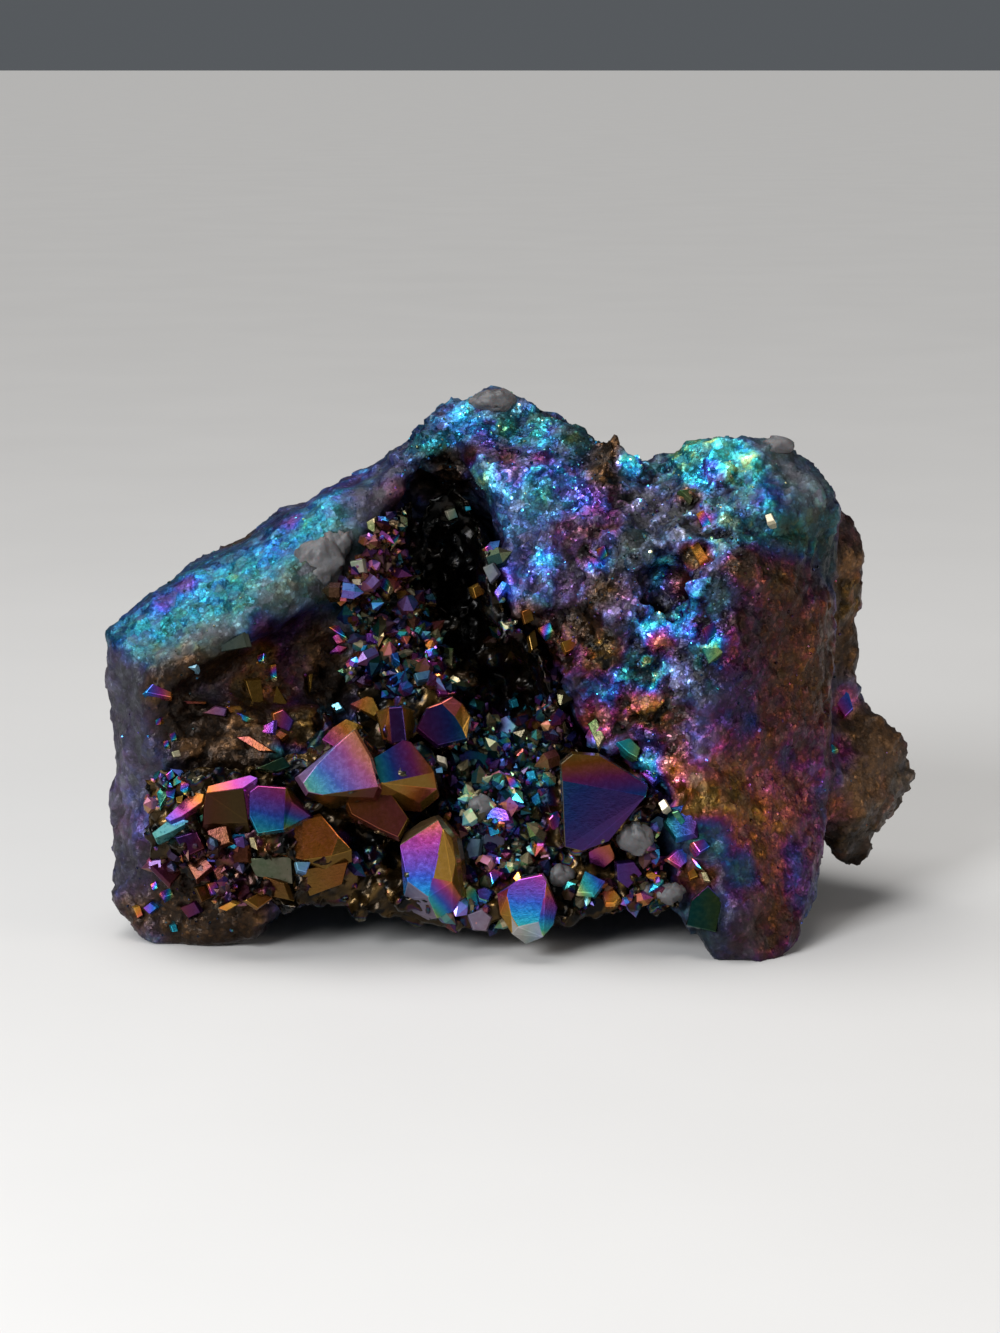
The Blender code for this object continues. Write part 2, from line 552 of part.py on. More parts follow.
def build_wall():
    """The massive quartz: lumps joined, hollow and cracks cut, and the surface roughened."""
    wall = united("quartz_wall", WALL_LUMPS)
    for name, corners in WALL_VOIDS.items():
        combine(wall, convex_lump(name, corners), "DIFFERENCE")
    for name, corners in INNER_BLOCKS.items():
        combine(wall, convex_lump(name, corners), "UNION")
    remesh(wall, WALL_CELL)
    weather(wall)
    stand_off(wall, WALL_SWELL)
    remesh(wall, WALL_CELL)
    return wall


def finish_wall(wall):
    """Thins the wall out and cuts the flats it rests on."""
    thin_out(wall, WALL_TRIANGLES)
    across = (-WORN_REACH, WORN_REACH)
    below = [(x, y, z) for x in across for y in across for z in (-WORN_REACH, WORN_LEVEL)]
    combine(wall, convex_lump("below", below), "DIFFERENCE")
    keep_largest_body(wall)


def build_crust(wall):
    """The crust of crystals that lines the hollow, clear of the wall by a narrow gap."""
    bed = copy_of(wall, "bed")
    stand_off(bed, CRUST_GAP)
    remesh(bed, CRUST_CELL)
    thin_out(bed, CRUST_BED_TRIANGLES)

    skin = copy_of(wall, "skin")
    stand_off(skin, CRUST_GAP + CRUST_THICKNESS)
    remesh(skin, CRUST_CELL)
    face = BVHTree.FromObject(skin, bpy.context.evaluated_depsgraph_get())
    combine(skin, united("field", CRUST_FIELDS), "INTERSECT")
    remesh(skin, CRUST_CELL)
    thin_out(skin, CRUST_SKIN_TRIANGLES)

    chance = random.Random(CRYSTAL_SEED)
    bm = bmesh.new()
    large_crystals(bm)
    for patch in CRYSTAL_PATCHES.values():
        grow_patch(bm, face, patch, chance)
    crystals = linked_object("crystals", bm)
    crust = skin
    crust.name = "crystal_crust"
    combine(crust, crystals, "UNION", self_crossing=True)
    combine(crust, bed, "DIFFERENCE")
    keep_largest_body(crust)
    merge_flats(crust)
    return crust


def coat(thing, finish):
    """Gives the object its own coated-quartz material."""
    colour, roughness, metallic = finish
    material = bpy.data.materials.new(thing.name + "_coat")
    material.use_nodes = True
    shader = material.node_tree.nodes["Principled BSDF"]
    shader.inputs["Base Color"].default_value = (*colour, 1.0)
    shader.inputs["Roughness"].default_value = roughness
    shader.inputs["Metallic"].default_value = metallic
    thing.data.materials.clear()
    thing.data.materials.append(material)


def centre_on_base(things):
    """Moves the origin to the middle of the specimen's box, on the plane it rests on."""
    places = [vertex.co for thing in things for vertex in thing.data.vertices]
    low = Vector([min(place[i] for place in places) for i in range(3)])
    high = Vector([max(place[i] for place in places) for i in range(3)])
    origin = Vector((0.5 * (low.x + high.x), 0.5 * (low.y + high.y), low.z))
    for place in places:
        place -= origin


def main():
    """Builds the specimen."""
    clear_scene()
    wall = build_wall()
    crust = build_crust(wall)
    finish_wall(wall)
    centre_on_base([wall, crust])
    coat(wall, WALL_COAT)
    coat(crust, CRUST_COAT)


if __name__ == "__main__":
    main()
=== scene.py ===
"""The looks of a broken geode piece of quartz with a thin rainbow metal coating.

Each sub-assembly and each finish is a class. Lengths are in millimetres until MM turns
them into metres, and places are in the specimen's own frame: +X to the right, -Y to the
front where the hollow opens, +Z up, with the origin under the middle of its box.

Three numbers give a place its looks: film is the coating's thickness, tone how light the place
is, painted light and shade included, and bare how far the quartz shows through.
"""

import logging
import math
from dataclasses import dataclass
from enum import Enum

import bmesh
import bpy
import numpy as np
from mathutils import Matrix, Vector, noise
from mathutils.bvhtree import BVHTree


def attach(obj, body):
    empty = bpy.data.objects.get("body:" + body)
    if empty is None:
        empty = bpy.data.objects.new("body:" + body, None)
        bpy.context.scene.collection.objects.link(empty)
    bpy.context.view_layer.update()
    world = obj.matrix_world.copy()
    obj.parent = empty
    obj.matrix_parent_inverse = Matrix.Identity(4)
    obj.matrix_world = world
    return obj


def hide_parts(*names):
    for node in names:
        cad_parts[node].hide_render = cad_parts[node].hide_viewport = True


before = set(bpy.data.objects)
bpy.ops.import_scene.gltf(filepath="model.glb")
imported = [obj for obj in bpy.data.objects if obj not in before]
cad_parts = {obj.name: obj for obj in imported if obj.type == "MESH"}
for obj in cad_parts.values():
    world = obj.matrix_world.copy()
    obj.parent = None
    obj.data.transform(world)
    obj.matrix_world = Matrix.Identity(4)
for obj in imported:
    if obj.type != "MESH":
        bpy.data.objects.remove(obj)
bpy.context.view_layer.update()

LOG = logging.getLogger("quartz")
MM = 0.001
BODY = "root"
# Without a fixed seed the noise that bends the blocks would differ from run to run.
NOISE_SEED = 7
Pair = tuple[float, float]
Pixel = tuple[float, float]
Triple = tuple[float, float, float]
Socket = bpy.types.NodeSocket
Piece = bpy.types.Object


class Film(Enum):
    """Colours of the coating, by its thickness from thin (0) to thick (1)."""

    GOLD = 0.0
    ORANGE = 0.13
    PINK = 0.23
    MAGENTA = 0.33
    PURPLE = 0.42
    VIOLET = 0.5
    BLUE = 0.6
    AZURE = 0.68
    CYAN = 0.76
    TEAL = 0.84
    GREEN = 0.92
    CREAM = 1.0


GOLD, ORANGE, PINK, MAGENTA, PURPLE, VIOLET, BLUE, AZURE, CYAN, TEAL, GREEN, CREAM = Film
FILM_COLOURS: dict[Film, Triple] = {
    GOLD: (0.64, 0.34, 0.05),
    ORANGE: (0.74, 0.22, 0.03),
    PINK: (0.78, 0.16, 0.15),
    MAGENTA: (0.55, 0.06, 0.33),
    PURPLE: (0.34, 0.07, 0.50),
    VIOLET: (0.20, 0.09, 0.62),
    BLUE: (0.05, 0.13, 0.75),
    AZURE: (0.02, 0.30, 0.80),
    CYAN: (0.03, 0.48, 0.68),
    TEAL: (0.04, 0.48, 0.42),
    GREEN: (0.28, 0.52, 0.16),
    CREAM: (0.80, 0.66, 0.36),
}


# --------------------------------------------------------------------------- viewpoint


@dataclass(frozen=True)
class Viewpoint:
    """Where the camera stands, and the sight lines through its frame."""

    target: Triple = (-2.23, -2.4, 27.8)
    distance: float = 333.0  # From the camera to the target
    pitch: float = 11.5  # How far it looks down, in degrees
    width: float = 1000.0
    height: float = 1333.0
    focal: float = 3000.0  # The focal length in pixels
    sensor: float = 36.0  # The camera's sensor width, in millimetres

    def back(self) -> Vector:
        """The unit vector from the target to the camera."""
        tilt = math.radians(self.pitch)
        return Vector((0.0, -math.cos(tilt), math.sin(tilt)))

    def eye(self) -> Vector:
        """The camera's place, in millimetres."""
        return Vector(self.target) + self.back() * self.distance

    def sight(self, pixel: Pixel) -> Vector:
        """The direction of the sight line through a pixel.

        Args:
            pixel: Column and row in the frame.

        Returns:
            A unit vector away from the camera.
        """
        right = Vector((1.0, 0.0, 0.0))
        up = self.back().cross(right)
        across = (pixel[0] - 0.5 * self.width) / self.focal
        rise = (0.5 * self.height - pixel[1]) / self.focal
        return (right * across + up * rise - self.back()).normalized()

    def meet(self, pixel: Pixel, place: Vector, normal: Vector) -> Vector:
        """Where the sight line through a pixel meets a plane."""
        ray = self.sight(pixel)
        return self.eye() + ray * ((place - self.eye()).dot(normal) / ray.dot(normal))

    def pixels(self, places: np.ndarray) -> np.ndarray:
        """The pixels where places show.

        Args:
            places: Places in millimetres, one row each.

        Returns:
            Columns and rows.
        """
        away = places - np.array(self.eye())
        right = np.array((1.0, 0.0, 0.0))
        back = np.array(self.back())
        depth = -(away @ back)
        columns = 0.5 * self.width + away @ right / depth * self.focal
        rows = 0.5 * self.height - away @ np.cross(back, right) / depth * self.focal
        return np.stack((columns, rows), axis=1)

    def camera(self) -> Piece:
        """Makes the scene's camera here.

        Returns:
            The camera object.
        """
        data = bpy.data.cameras.new("viewpoint")
        data.sensor_width = self.sensor
        data.lens = data.sensor_width * self.focal / self.height
        data.clip_start = 0.01
        data.clip_end = 20.0
        camera = bpy.data.objects.new("viewpoint", data)
        bpy.context.scene.collection.objects.link(camera)
        camera.location = self.eye() * MM
        camera.rotation_mode = "QUATERNION"
        camera.rotation_quaternion = (-self.back()).to_track_quat("-Z", "Y")
        bpy.context.scene.camera = camera
        return camera


VIEW = Viewpoint()


# --------------------------------------------------------------------------- mesh tools

# Loose corners nearer than this are merged, in metres.
MERGE_WITHIN = 1e-6
# How far one relaxing step moves a corner towards the middle of its neighbours, from 0 to 1.
RELAX_SHARE = 0.5
# How steep the facets are and how far they are lifted, for their length.
FACET_LEAN = 1.6
FACET_LIFT = 0.7
# These only keep the random lean of a facet apart from its random lift.
LEAN_SEED = 57.0
LIFT_SEED = 91.0


def link(name: str, bm: bmesh.types.BMesh) -> Piece:
    """Makes an object of the geometry and frees the geometry.

    Args:
        name: The new piece's name.
        bm: Its geometry, in metres.

    Returns:
        The object, in the scene.
    """
    mesh = bpy.data.meshes.new(name)
    bm.to_mesh(mesh)
    bm.free()
    thing = bpy.data.objects.new(name, mesh)
    bpy.context.scene.collection.objects.link(thing)
    return thing


def remeshed(node: str, name: str, cell: float, relax_steps: int = 0) -> Piece:
    """Copies a CAD node's solid as one even, fine surface.

    Args:
        node: The CAD node.
        name: The copy's name.
        cell: The size of the surface's cells, in millimetres.
        relax_steps: How often the surface is relaxed.

    Returns:
        The copy.
    """
    bm = bmesh.new()
    bm.from_mesh(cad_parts[node].data)
    bmesh.ops.remove_doubles(bm, verts=bm.verts, dist=MERGE_WITHIN)
    copy = link(name, bm)
    cells = copy.modifiers.new("cells", "REMESH")
    cells.mode = "VOXEL"
    cells.voxel_size = cell * MM
    if relax_steps:
        relax = copy.modifiers.new("relax", "SMOOTH")
        relax.factor = RELAX_SHARE
        relax.iterations = relax_steps
    settle(copy)
    return copy


def settle(thing: Piece) -> None:
    """Makes what the object's modifiers give its own mesh.

    Args:
        thing: The object to settle.
    """
    graph = bpy.context.evaluated_depsgraph_get()
    made = bpy.data.meshes.new_from_object(thing.evaluated_get(graph))
    thing.modifiers.clear()
    thing.data = made


def points_of(mesh: bpy.types.Mesh) -> np.ndarray:
    """The mesh's vertices in millimetres, one row each."""
    flat = np.empty(len(mesh.vertices) * 3)
    mesh.vertices.foreach_get("co", flat)
    return flat.reshape(-1, 3) / MM


def normals_of(mesh: bpy.types.Mesh) -> np.ndarray:
    """The mesh's vertex normals, one row each."""
    return np.array([v.normal[:] for v in mesh.vertices])


def write_attribute(mesh: bpy.types.Mesh, name: str, values: np.ndarray) -> None:
    """Stores one number for each vertex."""
    attribute = mesh.attributes.new(name, "FLOAT", "POINT")
    attribute.data.foreach_set("value", np.asarray(values, dtype=np.float32))


def facet(place: Vector, length: float, seed: float) -> tuple[float, float]:
    """One point of a field of flat facets, each with its own tilt.

    Args:
        place: Where, in millimetres.
        length: How long the facets are.
        seed: Chooses the field.

    Returns:
        The height there, about zero, and a random number for the facet, from 0 to 1.
    """
    spot = place / length + Vector((seed, seed, seed))
    _, middles = noise.voronoi(spot)
    lean = noise.cell_vector(middles[0] * LEAN_SEED) - Vector((0.5, 0.5, 0.5))
    lift = noise.cell(middles[0] * LIFT_SEED)
    return (spot - middles[0]).dot(lean) * FACET_LEAN + (lift - 0.5) * FACET_LIFT, lift


def give_material(thing: Piece, material: bpy.types.Material) -> None:
    """Gives an object one material and no other."""
    thing.data.materials.clear()
    thing.data.materials.append(material)


def solid_surface() -> BVHTree:
    """The surface of the CAD solids, in metres, for finding places on it."""
    bm = bmesh.new()
    for node in ("quartz_wall", "crystal_crust"):
        bm.from_mesh(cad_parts[node].data)
    surface = BVHTree.FromBMesh(bm)
    bm.free()
    return surface


# --------------------------------------------------------------------------- shader tools


class Graph:
    """A node tree under construction."""

    tree: bpy.types.NodeTree

    def node(self, kind: str, settings: dict | None = None, inputs: dict | None = None) -> bpy.types.Node:
        """Adds a node.

        Args:
            kind: Its type, such as ShaderNodeMath.
            settings: Properties to set first. The key stops holds a ramp's colours by place.
            inputs: Values, links or signals for its sockets, by name or number.

        Returns:
            The node.
        """
        made = self.tree.nodes.new(kind)
        for key, value in (settings or {}).items():
            if key == "stops":
                self._set_stops(made.color_ramp, value)
            else:
                setattr(made, key, value)
        for key, value in (inputs or {}).items():
            self.feed(made.inputs[key], value)
        return made

    @staticmethod
    def _set_stops(ramp: bpy.types.ColorRamp, stops: dict[float, Triple]) -> None:
        """Gives a ramp its colours.

        Args:
            ramp: The ramp.
            stops: Its colours by place.
        """
        while len(ramp.elements) < len(stops):
            ramp.elements.new(0.5)
        for element, (place, colour) in zip(ramp.elements, sorted(stops.items())):
            element.position = place
            element.color = (*colour, 1.0)

    def feed(self, socket: Socket, value: object) -> None:
        """Sets a socket to a value, or links an output or a signal to it.

        Args:
            socket: The input.
            value: A plain value, an output or a signal.
        """
        if isinstance(value, Signal):
            self.tree.links.new(value.socket, socket)
        elif isinstance(value, Socket):
            self.tree.links.new(value, socket)
        else:
            socket.default_value = value

    def signal(
        self, kind: str, output: str, settings: dict | None = None, inputs: dict | None = None
    ) -> "Signal":
        """Adds a node and gives one of its outputs as a signal."""
        return Signal(self, self.node(kind, settings, inputs).outputs[output])

    def vector(self, operation: str, inputs: dict) -> Socket:
        """Works out a vector."""
        return self.node("ShaderNodeVectorMath", {"operation": operation}, inputs).outputs["Vector"]


class Shader(Graph):
    """A material under construction.

    Args:
        name: The material's name.
    """

    def __init__(self, name: str) -> None:
        self.material = bpy.data.materials.new(name)
        self.material.use_nodes = True
        self.tree = self.material.node_tree
        self.principled = self.tree.nodes["Principled BSDF"]

    def attribute(self, name: str) -> "Signal":
        """The number that the mesh stores under this name."""
        return self.signal("ShaderNodeAttribute", "Fac", {"attribute_name": name})

    def places(self) -> Socket:
        """Object coordinates in millimetres."""
        metres = self.node("ShaderNodeTexCoord").outputs["Object"]
        return self.vector("SCALE", {0: metres, "Scale": 1.0 / MM})

    def clouds(self, places: Socket, scale: float, detail: float = 2.0) -> "Signal":
        """Noise about zero, from -0.5 to 0.5."""
        inputs = {"Vector": places, "Scale": scale, "Detail": detail}
        return self.signal("ShaderNodeTexNoise", "Fac", None, inputs) - 0.5

    def mix_colours(self, factor: object, first: object, second: object, blend: str = "MIX") -> Socket:
        """Mixes two colours."""
        settings = {"data_type": "RGBA", "blend_type": blend, "clamp_result": False}
        return self.node("ShaderNodeMix", settings, {0: factor, 6: first, 7: second}).outputs[2]

    def toned(self, colour: object, light: "Signal") -> Socket:
        """Multiplies a colour by a lightness.

        Args:
            colour: The colour.
            light: How light it becomes; 1 leaves it as it is.

        Returns:
            The new colour.
        """
        parts = {"Red": light, "Green": light, "Blue": light}
        grey = self.node("ShaderNodeCombineColor", None, parts).outputs["Color"]
        return self.mix_colours(1.0, colour, grey, "MULTIPLY")

    def bump(
        self, height: "Signal", strength: float, depth: float, normal: Socket | None = None
    ) -> Socket:
        """The normal of a surface with a fine relief.

        Args:
            height: The relief.
            strength: How strongly it shows.
            depth: How deep it is, in millimetres.
            normal: The normal before it.

        Returns:
            The new normal.
        """
        inputs = {"Strength": strength, "Distance": depth * MM, "Height": height}
        if normal is not None:
            inputs["Normal"] = normal
        return self.node("ShaderNodeBump", None, inputs).outputs["Normal"]

    def cover(self, looks: dict[str, object]) -> bpy.types.Material:
        """Feeds the material's surface.

        Args:
            looks: Values, outputs or signals by socket name.

        Returns:
            The material.
        """
        for name, value in looks.items():
            self.feed(self.principled.inputs[name], value)
        return self.material

    def film_colour(self, thickness: "Signal") -> Socket:
        """The coating's colour where it is this thick."""
        stops = {film.value: colour for film, colour in FILM_COLOURS.items()}
        return self.node("ShaderNodeValToRGB", {"stops": stops}, {"Fac": thickness}).outputs["Color"]

    def stretched(self, places: Socket, turn: float, length: float) -> Socket:
        """Coordinates in which a pattern runs long in one upright direction.

        Args:
            places: Coordinates in millimetres.
            turn: How far the direction rises to the right, in degrees.
            length: How much longer the pattern becomes.

        Returns:
            The new coordinates.
        """
        inputs = {"Vector": places, "Axis": (0.0, 1.0, 0.0), "Angle": math.radians(turn)}
        turned = self.node("ShaderNodeVectorRotate", None, inputs).outputs["Vector"]
        return self.vector("MULTIPLY", {0: turned, 1: (1.0 / length, 1.0, 1.0)})

    def tilted_normal(self, places: Socket, sizes: dict[float, float], share: "Signal") -> Socket:
        """The surface's normal, tilted at random from grain to grain.

        Args:
            places: Coordinates in millimetres.
            sizes: How far the normal tilts, by the grains' number in a millimetre.
            share: How much of that tilt counts.

        Returns:
            The tilted normal.
        """
        normal = self.node("ShaderNodeNewGeometry").outputs["Normal"]
        for scale, tilt in sizes.items():
            chances = self.cell_colour(places, scale)
            lean = self.vector("MULTIPLY_ADD", {0: chances, 1: (tilt,) * 3, 2: (-0.5 * tilt,) * 3})
            lean = self.vector("SCALE", {0: lean, "Scale": share})
            normal = self.vector("ADD", {0: normal, 1: lean})
        return self.vector("NORMALIZE", {0: normal})

    def cell_colour(self, places: Socket, scale: float) -> Socket:
        """A random colour for each grain, with this many grains in a millimetre."""
        return self.node("ShaderNodeTexVoronoi", None, {"Vector": places, "Scale": scale}).outputs["Color"]

    def cells(self, places: Socket, scale: float) -> dict[str, "Signal"]:
        """Three random numbers, Red, Green and Blue, for each grain."""
        parts = self.node("ShaderNodeSeparateColor", None, {"Color": self.cell_colour(places, scale)})
        return {name: Signal(self, parts.outputs[name]) for name in ("Red", "Green", "Blue")}

    def cell_edges(self, places: Socket, scale: float) -> "Signal":
        """How far it is to the nearest border between grains."""
        inputs = {"Vector": places, "Scale": scale}
        return self.signal("ShaderNodeTexVoronoi", "Distance", {"feature": "DISTANCE_TO_EDGE"}, inputs)

    def facing(self, direction: Triple) -> "Signal":
        """How far the surface faces in a direction, from -1 to 1."""
        normal = self.node("ShaderNodeNewGeometry").outputs["Normal"]
        inputs = {0: normal, 1: direction}
        return self.signal("ShaderNodeVectorMath", "Value", {"operation": "DOT_PRODUCT"}, inputs)


@dataclass
class Signal:
    """A number that varies over the surface. Arithmetic on it adds Math nodes."""

    graph: Graph  # The node tree it is in
    socket: Socket  # The output that gives it

    def _math(self, operation: str, first: object, second: object = 0.0, clamp: bool = False) -> "Signal":
        """Adds a Math node."""
        settings = {"operation": operation, "use_clamp": clamp}
        return self.graph.signal("ShaderNodeMath", "Value", settings, {0: first, 1: second})

    def __add__(self, other: object) -> "Signal":
        """Adds."""
        return self._math("ADD", self, other)

    def __radd__(self, other: object) -> "Signal":
        """Adds to a number."""
        return self._math("ADD", other, self)

    def __sub__(self, other: object) -> "Signal":
        """Subtracts."""
        return self._math("SUBTRACT", self, other)

    def __rsub__(self, other: object) -> "Signal":
        """Subtracts from a number."""
        return self._math("SUBTRACT", other, self)

    def __mul__(self, other: object) -> "Signal":
        """Multiplies."""
        return self._math("MULTIPLY", self, other)

    def __rmul__(self, other: object) -> "Signal":
        """Multiplies a number."""
        return self._math("MULTIPLY", other, self)

    def power(self, exponent: float) -> "Signal":
        """Raises to a power."""
        return self._math("POWER", self, exponent)

    def clamped(self) -> "Signal":
        """Keeps it from 0 to 1."""
        return self._math("ADD", self, 0.0, clamp=True)

    def folded(self) -> "Signal":
        """Folds the number back into the range from 0 to 1."""
        return self._math("PINGPONG", self, 1.0)


# --------------------------------------------------------------------------- finishes


@dataclass(frozen=True)
class CoatedWallFinish:
    """Granular quartz under the coating: colour by patch, grain that glitters, painted glints on single
    grains and painted shade in the seams between them.

    Where a field holds a pair, the first number is for coarse grains and the second for fine ones.
    """

    bare: Triple = (0.23, 0.235, 0.30)  # The colour of quartz where the coating is thin
    # How far quartz shows through in cloudy spots, and at single coarse grains.
    bare_spots: Pair = (0.9, 0.3)
    earth: Triple = (0.42, 0.20, 0.07)
    metallic: float = 0.8
    bare_metallic: float = 0.5  # How much less metallic bare quartz is
    grains: Pair = (0.9, 2.6)  # How many grains there are in a millimetre
    tilts: Pair = (0.75, 0.45)  # How far the grains tilt the surface
    smooth_tilt: float = 0.1  # How much of that tilt is left where there is no grit
    seam_rise: float = 5.0  # How fast the painted shade fades away from the lines between grains
    seam_lights: Pair = (0.45, 0.4)  # How light the painted shade in these lines is at its darkest
    turns: Pair = (0.09, 0.05)  # How far the film's thickness differs from grain to grain
    wander: float = 0.16  # How far it wanders over the surface
    glints: Pair = (0.6, 2.4)  # How much lighter the painted glints make the lightest grains
    glint_powers: Pair = (3.0, 8.0)  # How rare the painted glints are
    clouds: Pair = (0.5, 1.1)  # The least light of a place, and how far it varies from place to place
    crisp: float = 1.6  # How strong the finest light and dark is
    foil_crisp: float = 0.5  # How much of that there is on foil
    gain: float = 1.12  # How much lighter the whole is
    streak_turn: float = 36.0  # How far the slab's streaks rise to the right, in degrees
    streak_length: float = 5.0
    streak_light: float = 2.2  # How much lighter and darker they are
    streak_rise: float = 2.0  # How far they stand out
    rough: Pair = (0.42, 0.3)  # How rough the surface is, and how far that varies
    bare_rough: float = 0.15  # How much rougher bare quartz is
    glint_rough: float = 0.22  # How much smoother the smoothest grains are
    relief: float = 0.4  # How strongly the fine relief shows
    relief_depth: float = 0.25  # In millimetres

    def material(self) -> bpy.types.Material:
        """Builds the material.

        Returns:
            The material.
        """
        shader = Shader("coated_wall")
        places = shader.places()
        grit = shader.attribute("grit")
        foil = shader.attribute("foil")
        grains = [shader.cells(places, scale) for scale in self.grains]
        streaks = shader.clouds(shader.stretched(places, self.streak_turn, self.streak_length), 0.8, 4.0)

        thickness = shader.attribute("film") + shader.clouds(places, 0.28, 3.0) * self.wander
        for grain, turn in zip(grains, self.turns):
            thickness = thickness + (grain["Red"] - 0.5) * turn
        colour = shader.film_colour(thickness.clamped())
        spots = shader.clouds(places, 0.6, 3.0) * self.bare_spots[0]
        spots = spots + grains[0]["Blue"].power(4.0) * self.bare_spots[1]
        pale = (shader.attribute("bare") + spots).clamped()
        colour = shader.mix_colours(pale, colour, (*self.bare, 1.0))
        brown = (shader.attribute("earth") * 1.4 + shader.clouds(places, 0.9, 3.0) * 0.9 - 0.2).clamped()
        colour = shader.mix_colours(brown, colour, (*self.earth, 1.0))

        light = self.clouds[0] + shader.clouds(places, 1.1, 3.0) * self.clouds[1]
        # Painted glints: rare grains made lighter in the colour itself.
        for grain, power, glint in zip(grains, self.glint_powers, self.glints):
            light = light + grain["Green"].power(power) * glint * grit
        light = shader.attribute("tone") * light
        # Painted shade in the seams between grains.
        for scale, least in zip(self.grains, self.seam_lights):
            seam_shade = (shader.cell_edges(places, scale) * self.seam_rise + least).clamped()
            light = light * (1.0 - (1.0 - seam_shade) * grit)
        crisp = 1.0 + shader.clouds(places, 4.0, 3.0) * (grit + foil * self.foil_crisp) * self.crisp
        light = light * (1.0 + streaks * foil * self.streak_light) * crisp * self.gain

        rough = self.rough[0] + shader.clouds(places, 1.6) * self.rough[1] + pale * self.bare_rough
        rough = rough - grains[1]["Green"] * self.glint_rough * grit
        tilts = dict(zip(self.grains, self.tilts))
        normal = shader.tilted_normal(places, tilts, grit + self.smooth_tilt)
        height = shader.clouds(places, 3.0, 3.0) + streaks * foil * self.streak_rise
        return shader.cover({
            "Base Color": shader.toned(colour, light),
            "Metallic": (self.metallic - pale * self.bare_metallic).clamped(),
            "Roughness": rough.clamped(),
            "Normal": shader.bump(height, self.relief, self.relief_depth, normal),
        })


@dataclass(frozen=True)
class CoatedCrystalFinish:
    """Glossy crystal faces under the coating, with a faint relief."""

    name: str = "coated_crystals"
    bare: Triple = (0.42, 0.42, 0.46)  # The colour of quartz where the coating is thin
    bare_rough: float = 0.35  # How much rougher bare quartz is
    bare_metallic: float = 0.7  # How much less metallic it is
    metallic: float = 0.8
    roughness: float = 0.2
    wander: float = 0.05  # How far the film's thickness wanders over a face
    turn: float = 0.0  # How far it changes from face to face
    turn_towards: Triple = (0.6, -0.3, 0.74)  # The direction in which it grows
    speck_bare: float = 0.3  # How far quartz shows through in specks
    speck_light: float = 0.6  # How much lighter and darker specks are
    speck_rough: float = 0.15  # How much rougher they are
    relief: float = 0.12  # How strongly the fine relief shows
    relief_depth: float = 0.12  # In millimetres

    def material(self) -> bpy.types.Material:
        """Builds the material.

        Returns:
            The material.
        """
        shader = Shader(self.name)
        places = shader.places()
        bare = shader.attribute("bare")
        specks = shader.clouds(places, 2.4, 3.0)
        thickness = shader.attribute("film") + shader.clouds(places, 0.5) * self.wander * 2.0
        thickness = thickness + specks * self.wander
        if self.turn:
            thickness = thickness + shader.facing(self.turn_towards) * self.turn
        colour = shader.film_colour(thickness.clamped())
        pale = (bare + specks * self.speck_bare).clamped()
        colour = shader.mix_colours(pale, colour, (*self.bare, 1.0))
        light = shader.attribute("tone") * (1.0 + specks * self.speck_light)
        rough = self.roughness + specks * self.speck_rough + bare * self.bare_rough
        height = specks + shader.clouds(places, 6.0) * 0.5
        return shader.cover({
            "Base Color": shader.toned(colour, light),
            "Metallic": (self.metallic - bare * self.bare_metallic).clamped(),
            "Roughness": rough.clamped(),
            "Normal": shader.bump(height, self.relief, self.relief_depth),
        })


@dataclass(frozen=True)
class MilkyFinish:
    """Milky, slightly translucent quartz with a faint sheen of colour."""

    pale: Triple = (0.13, 0.127, 0.132)
    dusky: Triple = (0.045, 0.042, 0.045)
    sheen: float = 0.4
    rough: Pair = (0.38, 0.2)  # How rough its darker parts are, and how much rougher the lighter ones
    glow: float = 0.35  # How much light goes inside it
    depth: float = 0.8  # How far light travels there, in millimetres
    relief: float = 0.4  # How strongly the fine relief shows
    relief_depth: float = 0.2  # In millimetres

    def material(self) -> bpy.types.Material:
        """Builds the material.

        Returns:
            The material.
        """
        shader = Shader("milky_quartz")
        places = shader.places()
        veils = (shader.clouds(places, 0.7, 4.0) * 1.6 + 0.5).clamped()
        colour = shader.mix_colours(veils, (*self.dusky, 1.0), (*self.pale, 1.0))
        sheen = shader.film_colour((shader.clouds(places, 0.3) + 0.6).clamped())
        tinge = (shader.clouds(places, 1.1, 3.0) * 1.5 - 0.2).clamped() * self.sheen
        return shader.cover({
            "Base Color": shader.mix_colours(tinge, colour, sheen),
            "Roughness": (self.rough[0] + veils * self.rough[1]).clamped(),
            "Normal": shader.bump(shader.clouds(places, 2.5, 4.0), self.relief, self.relief_depth),
            "Subsurface Weight": self.glow,
            "Subsurface Scale": self.depth * MM,
        })


@dataclass(frozen=True)
class FloorFinish:
    """A plain pale matt floor."""

    colour: Triple = (0.62, 0.61, 0.60)
    rough: float = 0.75
    shade: float = 0.08  # How far its lightness varies

    def material(self) -> bpy.types.Material:
        """Builds the material.

        Returns:
            The material.
        """
        shader = Shader("pale_floor")
        light = 1.0 + shader.clouds(shader.places(), 0.02, 4.0) * self.shade
        colour = shader.toned((*self.colour, 1.0), light)
        return shader.cover({"Base Color": colour, "Roughness": self.rough})


# --------------------------------------------------------------------------- wall


@dataclass(frozen=True)
class Patch:
    """A patch of the coating round one spot of the wall."""

    column: float  # The column of the frame where its middle shows
    row: float
    reach: float  # How far it reaches, in millimetres
    tone: float
    bare: float = 0.0


@dataclass(frozen=True)
class Relief:
    """How rough the wall is in one zone."""

    middle: Triple
    reach: Triple
    blocks: float  # How far crystal blocks stand out
    grains: float  # How far small grains stand out
    ledges: float  # How far level ledges stand out
    grit: float  # How much the grain glitters, through tilted normals, painted glints and painted shade in its seams
    foil: float = 0.0  # How far it is like a streaky foil


